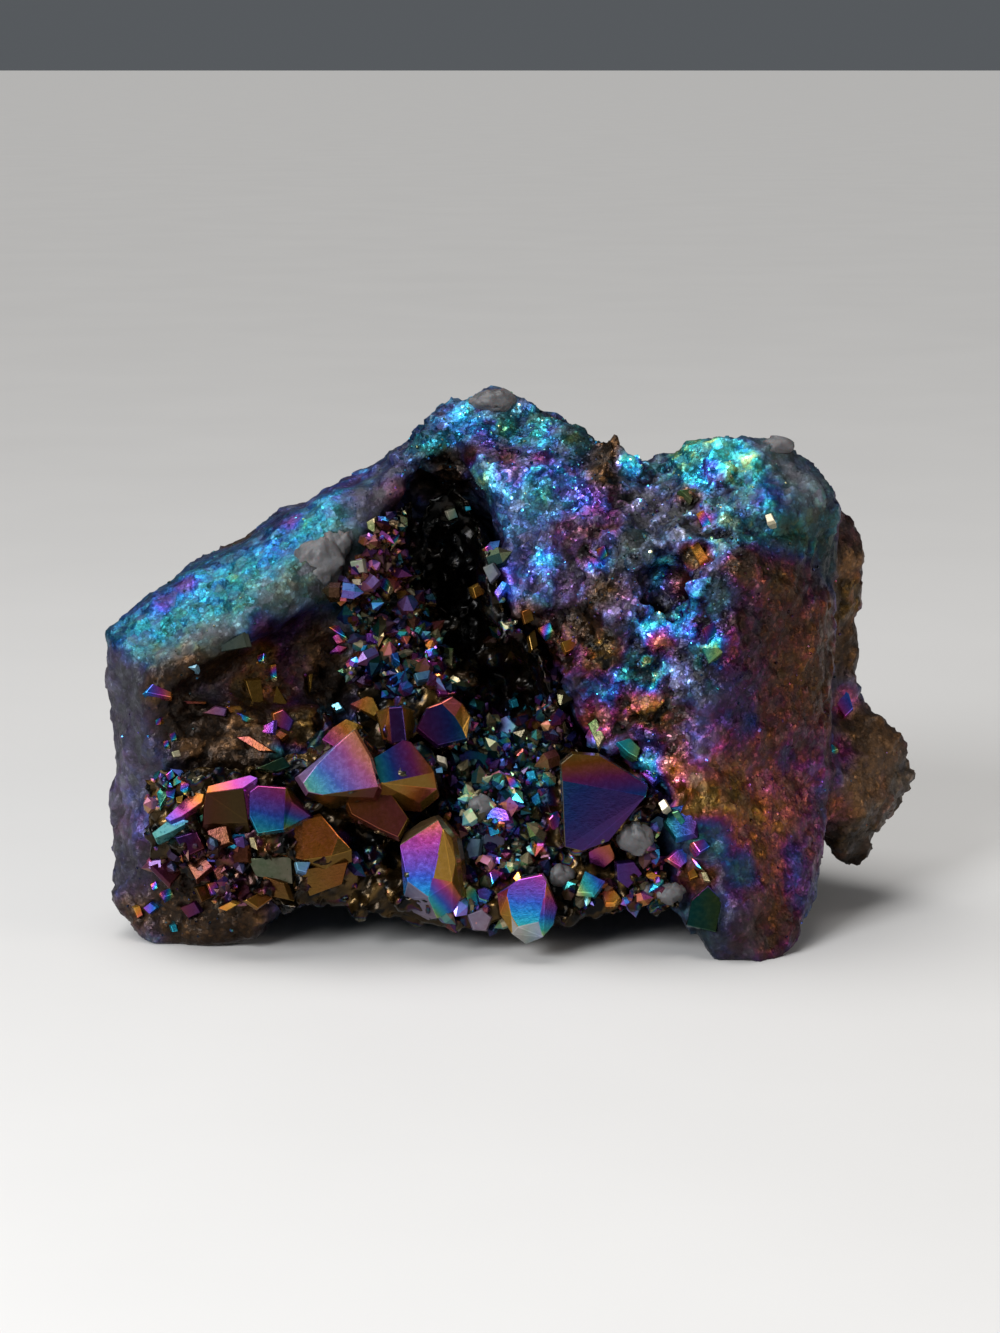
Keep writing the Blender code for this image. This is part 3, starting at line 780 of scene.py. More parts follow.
# The rows of patches by zone and by the coating's colour. EARTH stands for a dull brown.
EARTH = None
# Their tones hold painted light and shade as well as the coating's own lightness: the lit tops of the peak
# and the mass are painted lighter, and patches of tone near zero are painted shade at the hollow's rim and
# in the crack beside the crust.
PATCHES: dict[str, dict[Film | None, list[tuple[float, ...]]]] = {
    "slab": {
        CYAN: [(122, 636, 2.6, 0.48), (150, 628, 3.0, 0.6), (175, 615, 3.0, 0.56), (200, 600, 3.0, 0.6),
         (215, 572, 3.2, 0.64), (275, 560, 3.0, 0.6), (322, 515, 2.4, 0.72), (345, 512, 2.2, 0.44, 0.4),
         (422, 430, 2.4, 0.44)],
        AZURE: [(140, 605, 2.4, 0.4), (172, 578, 2.2, 0.32), (208, 553, 2.2, 0.28), (258, 550, 2.4, 0.56),
         (268, 527, 2.2, 0.32), (290, 540, 2.2, 0.52), (330, 495, 2.2, 0.6), (372, 482, 2.2, 0.32, 0.4),
         (405, 450, 2.4, 0.36, 0.3), (440, 414, 2.4, 0.4, 0.2)],
        PURPLE: [(164, 604, 1.3, 0.4), (290, 522, 1.4, 0.4)],
        MAGENTA: [(186, 585, 1.4, 0.32)],
        EARTH: [(236, 541, 1.6, 0.19)],
        TEAL: [(245, 575, 3.4, 0.6), (240, 600, 3.0, 0.44), (305, 530, 2.4, 0.68),
         (140, 652, 1.8, 0.4, 0.3), (165, 652, 1.8, 0.36, 0.6), (190, 640, 2.2, 0.36, 0.7),
         (235, 622, 2.2, 0.32, 0.8), (270, 598, 2.2, 0.28, 0.8), (350, 540, 2.0, 0.16, 0.8)],
        BLUE: [(348, 482, 2.2, 0.48), (388, 470, 2.4, 0.32, 0.4), (378, 522, 2.0, 0.16, 0.8)],
        CREAM: [(330, 566, 2.6, 0.4, 1.0), (215, 640, 1.8, 0.24, 1.0)],
        VIOLET: [(366, 505, 2.4, 0.24, 0.8)],
        PINK: [(392, 495, 2.0, 0.16, 0.5)],
        GREEN: [(290, 575, 2.0, 0.28, 0.7)],
    },
    "left_side": {
        VIOLET: [(116, 664, 1.8, 0.21, 0.8), (134, 676, 1.8, 0.26, 0.9), (122, 700, 3.6, 0.29, 0.9),
         (125, 735, 4.0, 0.31, 0.8), (125, 775, 4.0, 0.37, 0.7), (122, 870, 4.0, 0.29, 0.8)],
        EARTH: [(150, 690, 1.8, 0.14, 0.3), (135, 905, 2.5, 0.26, 0.2), (165, 865, 2.6, 0.09, 0.3),
         (185, 880, 3.0, 0.09), (212, 885, 2.4, 0.11), (165, 905, 2.5, 0.16), (200, 915, 3.0, 0.13),
         (235, 915, 3.0, 0.14), (200, 935, 3.0, 0.15, 0.4)],
        BLUE: [(140, 800, 2.4, 0.5, 0.4), (138, 828, 1.8, 0.7, 0.2)],
        PURPLE: [(122, 820, 3.6, 0.32, 0.8), (150, 860, 2.6, 0.16, 0.6)],
        MAGENTA: [(205, 865, 2.4, 0.06)],
    },
    "recess": {
        EARTH: [(185, 662, 3.0, 0.1), (222, 662, 2.6, 0.14, 0.1), (312, 650, 3.0, 0.1),
         (180, 720, 3.0, 0.06), (215, 745, 3.5, 0.08), (250, 725, 3.0, 0.16), (240, 755, 2.4, 0.08),
         (325, 680, 3.0, 0.04)],
        GOLD: [(262, 655, 1.8, 0.3), (250, 690, 1.8, 0.16), (300, 728, 2.4, 0.2)],
        PURPLE: [(285, 630, 2.2, 0.1)],
        MAGENTA: [(262, 625, 1.8, 0.08), (290, 665, 2.2, 0.09)],
        ORANGE: [(272, 690, 1.6, 0.18)],
        TEAL: [(290, 762, 2.0, 0.1)],
    },
    "peak": {
        AZURE: [(497, 402, 2.2, 0.79, 0.7), (545, 475, 2.2, 1.26), (575, 485, 2.0, 1.57),
         (520, 512, 2.2, 0.94, 0.3)],
        CYAN: [(460, 422, 2.4, 0.91), (540, 432, 2.4, 0.79), (500, 490, 2.2, 1.26, 0.2),
         (555, 505, 2.0, 1.05, 0.3)],
        BLUE: [(485, 436, 1.8, 0.59)],
        TEAL: [(512, 425, 2.4, 0.86), (575, 440, 2.2, 0.53, 0.3), (428, 438, 1.8, 0.5),
         (480, 476, 1.8, 1.05, 0.4), (530, 492, 2.2, 1.05, 0.2)],
        EARTH: [(608, 448, 2.2, 0.19), (600, 475, 2.0, 0.41), (447, 462, 1.6, 0.01), (434, 478, 1.8, 0.01),
         (455, 482, 1.4, 0.01)],
        MAGENTA: [(470, 456, 1.0, 0.1), (505, 457, 1.2, 0.13), (540, 457, 1.1, 0.13)],
        VIOLET: [(510, 472, 2.0, 1.26, 0.3), (592, 505, 2.4, 1.26)],
    },
    "granular_mass": {
        EARTH: [(530, 655, 1.8, 0.06), (545, 682, 2.2, 0.05), (562, 708, 2.2, 0.05), (490, 560, 1.6, 0.1),
         (500, 630, 1.8, 0.06), (688, 494, 1.4, 0.79), (605, 590, 2.2, 0.28, 0.2),
         (530, 615, 2.4, 0.21, 0.1), (580, 628, 2.4, 0.24, 0.2)],
        PURPLE: [(575, 735, 2.0, 0.06), (565, 535, 2.4, 0.6, 0.4), (600, 535, 2.2, 0.69, 0.2),
         (630, 738, 2.0, 1.4, 0.2), (690, 715, 2.0, 0.6, 0.3)],
        CYAN: [(640, 458, 2.2, 1.72), (655, 480, 2.2, 1.14, 0.3), (730, 498, 2.2, 1.14, 0.4),
         (764, 515, 2.2, 1.03, 0.2), (650, 774, 1.8, 1.52)],
        TEAL: [(664, 450, 2.0, 1.72), (730, 458, 2.2, 1.72), (780, 450, 2.2, 0.75, 0.8),
         (800, 485, 2.8, 0.5, 0.9), (812, 512, 2.2, 0.34, 0.8), (750, 540, 2.4, 0.95, 0.1),
         (722, 532, 2.4, 0.69, 0.4), (630, 550, 2.2, 0.44, 0.8), (664, 568, 1.8, 1.21),
         (650, 622, 2.0, 1.03), (722, 600, 2.0, 0.52, 0.6)],
        GREEN: [(688, 452, 2.2, 1.72), (745, 472, 2.2, 1.6), (712, 650, 1.8, 0.95), (645, 672, 2.2, 0.9)],
        AZURE: [(706, 474, 2.2, 1.94), (773, 492, 2.0, 1.15), (684, 520, 2.4, 0.52, 0.8),
         (548, 558, 1.6, 1.21), (603, 562, 1.6, 1.21), (545, 590, 2.4, 0.69, 0.4), (690, 612, 2.8, 1.38),
         (702, 690, 2.0, 0.38, 0.5), (612, 692, 2.2, 1.7), (652, 742, 1.8, 1.68)],
        VIOLET: [(650, 510, 2.8, 0.6, 0.8), (575, 580, 2.2, 0.52, 0.5), (635, 590, 2.0, 0.6, 0.5),
         (620, 615, 2.2, 0.44, 0.5), (660, 800, 1.6, 0.9, 0.3)],
        GOLD: [(705, 522, 1.2, 1.03), (698, 555, 1.3, 0.86), (600, 650, 2.0, 0.34), (625, 768, 1.6, 1.6)],
        PINK: [(678, 582, 1.5, 0.44), (660, 640, 1.5, 0.86), (550, 640, 2.4, 0.24), (632, 706, 1.8, 1.6),
         (676, 740, 2.0, 1.3, 0.2), (676, 780, 2.0, 1.05)],
        BLUE: [(514, 585, 2.6, 1.03, 0.1), (704, 632, 2.0, 1.21), (682, 678, 2.2, 0.42, 0.6),
         (702, 742, 2.2, 0.6, 0.3)],
        MAGENTA: [(570, 655, 2.0, 0.44), (596, 716, 2.0, 1.3)],
        ORANGE: [(655, 715, 2.2, 1.15)],
    },
    "glassy_break": {
        TEAL: [(812, 528, 3.0, 0.09, 0.1), (745, 868, 1.8, 0.26, 0.3), (718, 915, 3.0, 0.1, 0.5),
         (827, 560, 2.2, 0.06, 0.2), (750, 725, 1.4, 0.11)],
        GREEN: [(785, 535, 2.8, 0.08, 0.1), (712, 838, 2.4, 0.3, 0.3)],
        ORANGE: [(785, 580, 3.4, 0.13), (755, 565, 2.6, 0.08, 0.1), (812, 640, 3.2, 0.1),
         (785, 665, 3.2, 0.13), (812, 695, 3.2, 0.13), (775, 925, 3.0, 0.14), (700, 880, 2.0, 0.25),
         (827, 610, 2.2, 0.1), (827, 660, 2.2, 0.13), (785, 825, 1.6, 0.45)],
        MAGENTA: [(745, 610, 3.0, 0.08, 0.2), (812, 590, 2.6, 0.08, 0.1), (745, 655, 3.0, 0.08),
         (730, 740, 3.0, 0.18), (805, 745, 3.0, 0.16), (812, 840, 3.0, 0.36, 0.2), (828, 760, 2.2, 0.16),
         (772, 650, 1.6, 0.11), (843, 705, 1.6, 0.8), (845, 750, 1.6, 0.4)],
        PINK: [(780, 625, 3.4, 0.08), (775, 705, 3.0, 0.11), (765, 745, 3.2, 0.16), (722, 772, 2.6, 0.3),
         (765, 790, 3.0, 0.43), (795, 800, 3.2, 0.42), (768, 830, 2.8, 0.42), (740, 835, 2.8, 0.45),
         (770, 870, 2.8, 0.35), (745, 925, 3.0, 0.14, 0.5), (828, 710, 2.2, 0.13), (828, 810, 2.2, 0.25),
         (843, 515, 3.0, 0.13, 0.3)],
        VIOLET: [(735, 705, 2.8, 0.16, 0.1), (800, 885, 2.4, 0.33)],
        GOLD: [(702, 798, 2.8, 0.5), (735, 806, 2.8, 0.46), (755, 815, 1.6, 0.53), (760, 850, 1.6, 0.4),
         (735, 775, 1.6, 0.38), (845, 600, 2.6, 0.13), (905, 785, 3.4, 0.3, 0.5),
         (870, 820, 3.0, 0.21, 0.4), (850, 845, 3.0, 0.16, 0.4)],
        BLUE: [(790, 850, 1.4, 0.45), (785, 755, 1.4, 0.16), (800, 865, 1.4, 0.38)],
        PURPLE: [(733, 895, 1.8, 0.4), (790, 940, 3.0, 0.14), (830, 860, 2.4, 0.25)],
        EARTH: [(850, 560, 3.0, 0.21), (850, 645, 3.0, 0.24), (860, 730, 3.0, 0.26, 0.2),
         (885, 745, 3.4, 0.44, 0.5), (865, 790, 3.2, 0.44, 0.3), (872, 848, 3.0, 0.14, 0.4),
         (842, 866, 3.0, 0.12, 0.3)],
    },
}
RELIEFS = {
    "slab": Relief((-27.0, -10.0, 40.0), (22.0, 13.0, 16.0), 0.12, 0.1, 0.0, 0.35, 1.0),
    "peak": Relief((-1.0, -1.0, 52.0), (14.0, 10.0, 7.0), 0.5, 0.22, 0.2, 0.9, 0.5),
    "lip": Relief((3.0, -6.0, 45.5), (9.0, 6.0, 5.0), 0.25, 0.2, 0.4, 0.8, 0.6),
    "granular_mass": Relief((14.0, -8.0, 38.0), (15.0, 15.0, 18.0), 0.8, 0.3, 0.0, 1.0),
    "inner_edge": Relief((13.0, -14.0, 23.0), (6.0, 10.0, 11.0), 0.8, 0.35, 0.0, 1.0),
    "glassy_break": Relief((28.0, -13.0, 20.0), (9.0, 12.0, 26.0), 0.2, 0.16, 0.0, 0.5, 0.7),
    "recess": Relief((-28.0, -12.0, 26.0), (13.0, 10.0, 9.0), 0.5, 0.25, 0.35, 0.45),
    "left_strip": Relief((-43.0, -12.0, 18.0), (6.0, 8.0, 18.0), 0.3, 0.15, 0.0, 0.25),
    "left_foot": Relief((-36.0, -14.0, 6.0), (10.0, 8.0, 8.0), 0.5, 0.3, 0.0, 0.6),
    "side_knob": Relief((40.0, -8.0, 16.0), (7.0, 9.0, 12.0), 0.2, 0.14, 0.0, 0.45),
}
PLAIN_RELIEF = Relief((0.0, 0.0, 0.0), (1.0, 1.0, 1.0), 0.4, 0.2, 0.1, 0.3)
# How strongly a zone wins over the plain relief at its middle.
ZONE_HOLD = 6.0


@dataclass
class QuartzWall:
    """The massive quartz wall."""

    cell: float = 0.5
    relax_steps: int = 3  # How often the surface is relaxed before the relief
    swell: float = 0.12  # How far the surface is pushed out to make up for the relaxing
    block_length: float = 2.9
    grain_length: float = 1.25
    ledge_height: float = 1.1
    ledge_slope: float = 0.15  # How far the ledges rise to the left
    ledge_depth: float = 0.4  # How deep they are for their height
    sway_length: float = 2.3  # How long the waves are that bend blocks and ledges
    sway_depth: float = 0.35  # How high these waves are
    block_sway: float = 2.0  # How much more they bend the blocks
    ledge_sway: float = 1.2  # How much more they bend the ledges
    wave: float = 0.12  # How far they show in the surface itself
    # Painted light and shade by height: how light a block is at mid height, and how much lighter it is
    # painted higher up.
    crest: Pair = (0.75, 0.9)
    crest_limits: Pair = (0.25, 1.2)  # The least and the most painted light by height
    block_light: Pair = (0.75, 1.95)  # The least light of a block, and what chance adds to it
    grain_light: Pair = (0.7, 0.7)  # The least light of a grain, and what chance adds to it
    full_blocks: float = 0.7  # The blocks' relief where their contrast is full
    block_turn: float = 0.14  # How far the film differs from block to block
    foot_start: float = 0.2  # The height where the relief begins
    foot_rise: float = 1.5  # Over how much height it grows to its full depth
    clear_foot: float = 1.0  # The height below which no grains grow
    grain_start: float = 0.2  # The grit where single grains begin to stand out
    back_film: Film = AZURE  # The coating's colour where no patch reaches
    back_tone: float = 0.32
    back_bare: float = 0.4
    back_earth: float = 0.15  # How much dull brown there is
    back_hold: float = 0.5  # How strongly that colour holds against the patches
    back_wander: float = 0.15  # How far its thickness wanders
    wander_length: float = 14.0  # Over what length it does so
    patch_hold: float = 14.0  # How strongly the patches win over that colour
    patch_fall: float = 1.6  # How steeply they fade
    rim_depth: float = -6.0  # The place along Y of a patch whose sight line passes the wall's rim
    shade: float = 0.5  # How much painted shade darkens faces that look down
    shade_start: float = 0.3  # How far down a face looks where that painted shade begins

    def build(self) -> Piece:
        """Builds the wall's fine surface over its CAD solid.

        Returns:
            The wall.
        """
        wall = remeshed("quartz_wall", "wall_surface", self.cell, self.relax_steps)
        contrast, turn = self._carve(wall.data)
        self._paint(wall, contrast, turn)
        wall.data.shade_smooth()
        return wall

    def _carve(self, mesh: bpy.types.Mesh) -> tuple[np.ndarray, np.ndarray]:
        """Presses blocks, grains and ledges into the surface, and writes its grit.

        Args:
            mesh: The wall's mesh.

        Returns:
            How light the blocks are, with painted light on their crests and painted shade in their hollows,
            and how far their film differs.
        """
        points = points_of(mesh)
        normals = normals_of(mesh)
        zone = self._zones(points)
        share = np.clip(zone["blocks"] / self.full_blocks, 0.0, 1.0)
        rise = np.empty(len(points))
        contrast = np.ones(len(points))
        turn = np.zeros(len(points))
        for index, row in enumerate(points):
            place = Vector(row)
            sway = noise.noise_vector(place / self.sway_length) * self.sway_depth
            block, chance = facet(place + sway * self.block_sway, self.block_length, seed=11.0)
            grain, luck = facet(place, self.grain_length, seed=37.0)
            # Painted light on the blocks' crests and painted shade in their hollows.
            crest = self.crest[0] + self.crest[1] * block
            light = min(max(crest, self.crest_limits[0]), self.crest_limits[1])
            light *= self.block_light[0] + self.block_light[1] * chance**2
            light *= self.grain_light[0] + self.grain_light[1] * luck
            contrast[index] += share[index] * (light - 1.0)
            turn[index] = share[index] * (luck - 0.5) * self.block_turn
            level = (place.z + self.ledge_sway * sway.x + self.ledge_slope * place.x) / self.ledge_height
            ledge = (0.5 - level % 1.0) * self.ledge_height * self.ledge_depth
            rise[index] = zone["blocks"][index] * block + zone["grains"][index] * grain
            rise[index] += zone["ledges"][index] * ledge + self.wave * sway.y
        foot = np.clip((points[:, 2] - self.foot_start) / self.foot_rise, 0.0, 1.0)
        moved = points + normals * ((rise + self.swell) * foot)[:, None]
        moved[:, 2] = np.maximum(moved[:, 2], 0.0)
        mesh.vertices.foreach_set("co", (moved * MM).ravel())
        sparkle = np.clip((zone["grit"] - self.grain_start) / (1.0 - self.grain_start), 0.0, 1.0) ** 1.5
        write_attribute(mesh, "grit", zone["grit"])
        write_attribute(mesh, "foil", zone["foil"])
        write_attribute(mesh, "sparkle", np.where(points[:, 2] > self.clear_foot, sparkle, 0.0))
        mesh.update()
        return contrast, turn

    @staticmethod
    def _zones(points: np.ndarray) -> dict[str, np.ndarray]:
        """Mixes the relief's measures at each point from the zones around it.

        Args:
            points: The wall's points, in millimetres.

        Returns:
            The measures by name.
        """
        columns = []
        for zone in RELIEFS.values():
            away = (points - np.array(zone.middle)) / np.array(zone.reach)
            columns.append(ZONE_HOLD * np.maximum(0.0, 1.0 - (away**2).sum(axis=1)))
        columns.append(np.ones(len(points)))
        weights = np.stack(columns, axis=1)
        weights /= weights.sum(axis=1, keepdims=True)
        zones = [*RELIEFS.values(), PLAIN_RELIEF]
        measures = ("blocks", "grains", "ledges", "grit", "foil")
        return {name: weights @ np.array([getattr(zone, name) for zone in zones]) for name in measures}

    def _paint(self, wall: Piece, contrast: np.ndarray, turn: np.ndarray) -> None:
        """Writes the coating's thickness, the tone with its painted shade and crest light, and where the
        quartz is bare.

        Args:
            wall: The wall.
            contrast: How light each point's block is, with painted light on its crest and painted shade in
                its hollows.
            turn: How far its film differs.
        """
        surface = BVHTree.FromObject(wall, bpy.context.evaluated_depsgraph_get())
        points = points_of(wall.data)
        total = np.ones(len(points))
        coloured = np.full(len(points), self.back_hold)
        wander = np.array([noise.noise(Vector(row) / self.wander_length) for row in points])
        film = (self.back_film.value + self.back_wander * wander) * self.back_hold
        tone = np.full(len(points), self.back_tone)
        bare = np.full(len(points), self.back_bare)
        earth = np.full(len(points), self.back_earth)
        for colour, patch in self._patches():
            away = ((points - self._spot(surface, patch)) ** 2).sum(axis=1) / patch.reach**2
            weight = self.patch_hold * np.exp(-self.patch_fall * away)
            total += weight
            tone += weight * patch.tone
            bare += weight * patch.bare
            if colour is EARTH:
                earth += weight
            else:
                coloured += weight
                film += weight * colour.value
        # Painted shade on faces that look down.
        down = np.clip(-normals_of(wall.data)[:, 2] - self.shade_start, 0.0, 1.0)
        write_attribute(wall.data, "film", film / coloured + turn)
        write_attribute(wall.data, "tone", tone / total * contrast * (1.0 - self.shade * down))
        write_attribute(wall.data, "bare", bare / total)
        write_attribute(wall.data, "earth", earth / total)

    @staticmethod
    def _patches() -> list[tuple[Film | None, Patch]]:
        """Every patch with its colour."""
        groups = [group for zone in PATCHES.values() for group in zone.items()]
        return [(colour, Patch(*row)) for colour, rows in groups for row in rows]

    def _spot(self, surface: BVHTree, patch: Patch) -> np.ndarray:
        """Finds a patch's middle on the wall.

        Args:
            surface: The wall's surface.
            patch: The patch.

        Returns:
            The place, in millimetres.
        """
        pixel = (patch.column, patch.row)
        spot, _, _, _ = surface.ray_cast(VIEW.eye() * MM, VIEW.sight(pixel))
        if spot is None:
            passing = VIEW.meet(pixel, Vector((0.0, self.rim_depth, 0.0)), Vector((0.0, 1.0, 0.0)))
            spot, _, _, _ = surface.find_nearest(passing * MM)
        return np.array(spot) / MM

    def dress(self, wall: Piece) -> None:
        """Gives the wall its finish and its place in the frame.

        Args:
            wall: The wall.
        """
        give_material(wall, CoatedWallFinish().material())
        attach(wall, BODY)
        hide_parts("quartz_wall")


# --------------------------------------------------------------------------- crystals


@dataclass(frozen=True)
class Wash:
    """How the coating's colour runs over one crystal face."""

    start: Pixel  # A pixel at one end of the colours
    end: Pixel  # A pixel at the other end
    first: Film  # The colour at the first one
    last: Film  # The colour at the other
    tone: float
    bare: float = 0.0

    def distance(self, spot: Pixel) -> float:
        """How far a pixel is from the middle of the wash."""
        return math.dist(spot, ((self.start[0] + self.end[0]) / 2, (self.start[1] + self.end[1]) / 2))

    def thickness(self, spot: Pixel) -> float:
        """The coating's thickness at a pixel.

        Args:
            spot: The pixel.

        Returns:
            The thickness, which runs on past both ends.
        """
        run = (self.end[0] - self.start[0], self.end[1] - self.start[1])
        along = (spot[0] - self.start[0]) * run[0] + (spot[1] - self.start[1]) * run[1]
        share = along / (run[0] ** 2 + run[1] ** 2)
        return self.first.value + share * (self.last.value - self.first.value)


@dataclass(frozen=True)
class Side:
    """A face beside the main one."""

    normal: Triple
    # A pixel on the edge that it shares with the main face, then its other corners.
    corners: tuple[Pixel, ...]


@dataclass(frozen=True)
class Crystal:
    """One crystal that shows a main face."""

    face: tuple[Pixel, ...]  # The corners of its main face, as pixels
    washes: tuple[Wash, ...]  # The colours of its faces, the main one's first
    normal: Triple = (0.0, -0.88, 0.47)
    sides: tuple[Side, ...] = ()  # The faces beside it
    length: float = 4.0  # How long its body is behind the main face
    proud: float = 0.6  # How far the main face stands off the bed
    flare: float = 1.1  # How much wider the body is than its face
    shoulder: float = 0.3  # Where along the body it is that wide, from 0 to 1
    foot: float = 0.85  # How wide the body's end is for the face

    def middle(self) -> Pixel:
        """The middle of the main face, as a pixel."""
        columns, rows = zip(*self.face)
        return (sum(columns) / len(columns), sum(rows) / len(rows))

    def reach(self) -> float:
        """How far the main face reaches from its middle, in pixels."""
        return max(math.dist(self.middle(), corner) for corner in self.face)

    def corners(self, surface: BVHTree) -> list[Vector]:
        """Works out the corners of the crystal.

        Args:
            surface: What it grows from.

        Returns:
            The corners, in millimetres.
        """
        normal = Vector(self.normal).normalized()
        ray = VIEW.sight(self.middle())
        spot, _, _, _ = surface.ray_cast(VIEW.eye() * MM, ray)
        if spot is None:
            LOG.warning("crystal at %s misses the bed", self.middle())
            return []
        anchor = spot / MM - ray * self.proud
        front = [VIEW.meet(pixel, anchor, normal) for pixel in self.face]
        for side in self.sides:
            shared = VIEW.meet(side.corners[0], anchor, normal)
            front += [VIEW.meet(pixel, shared, Vector(side.normal)) for pixel in side.corners[1:]]
        found = list(front)
        for share, scale in ((self.shoulder, self.flare), (1.0, self.foot)):
            found += [anchor + (corner - anchor) * scale - normal * self.length * share for corner in front]
        return found


# Which way a chip's face looks, how far that differs from chip to chip, and the chip's own shape.
CHIP_NORMAL = (0.0, -0.88, 0.42)
CHIP_LEAN = 0.34
CHIP_LENGTH = 1.8
CHIP_FLARE = 1.2


def chip(
    tone: float, first: Film, last: Film, *outline: float, bare: float = 0.0, proud: float = 0.35
) -> Crystal:
    """A small crystal of one wash, which runs from its first corner to the opposite one.

    Its face leans a little from that of its neighbours.

    Args:
        tone: How light it is.
        first: The colour at its first corner.
        last: The colour at the opposite corner.
        outline: The first corner's column and row, then the steps across and down to each other corner.
        bare: How far the quartz shows through.
        proud: How far it stands off the bed.

    Returns:
        The crystal.
    """
    column, row = outline[:2]
    steps = zip(outline[2::2], outline[3::2])
    corners = ((column, row), *((column + across, row + down) for across, down in steps))
    over = Wash(corners[0], corners[len(corners) // 2], first, last, tone, bare)
    across, forward, up = CHIP_NORMAL
    normal = (across + CHIP_LEAN * math.sin(column), forward, up + CHIP_LEAN * math.cos(row))
    return Crystal(corners, (over,), normal, length=CHIP_LENGTH, proud=proud, flare=CHIP_FLARE)
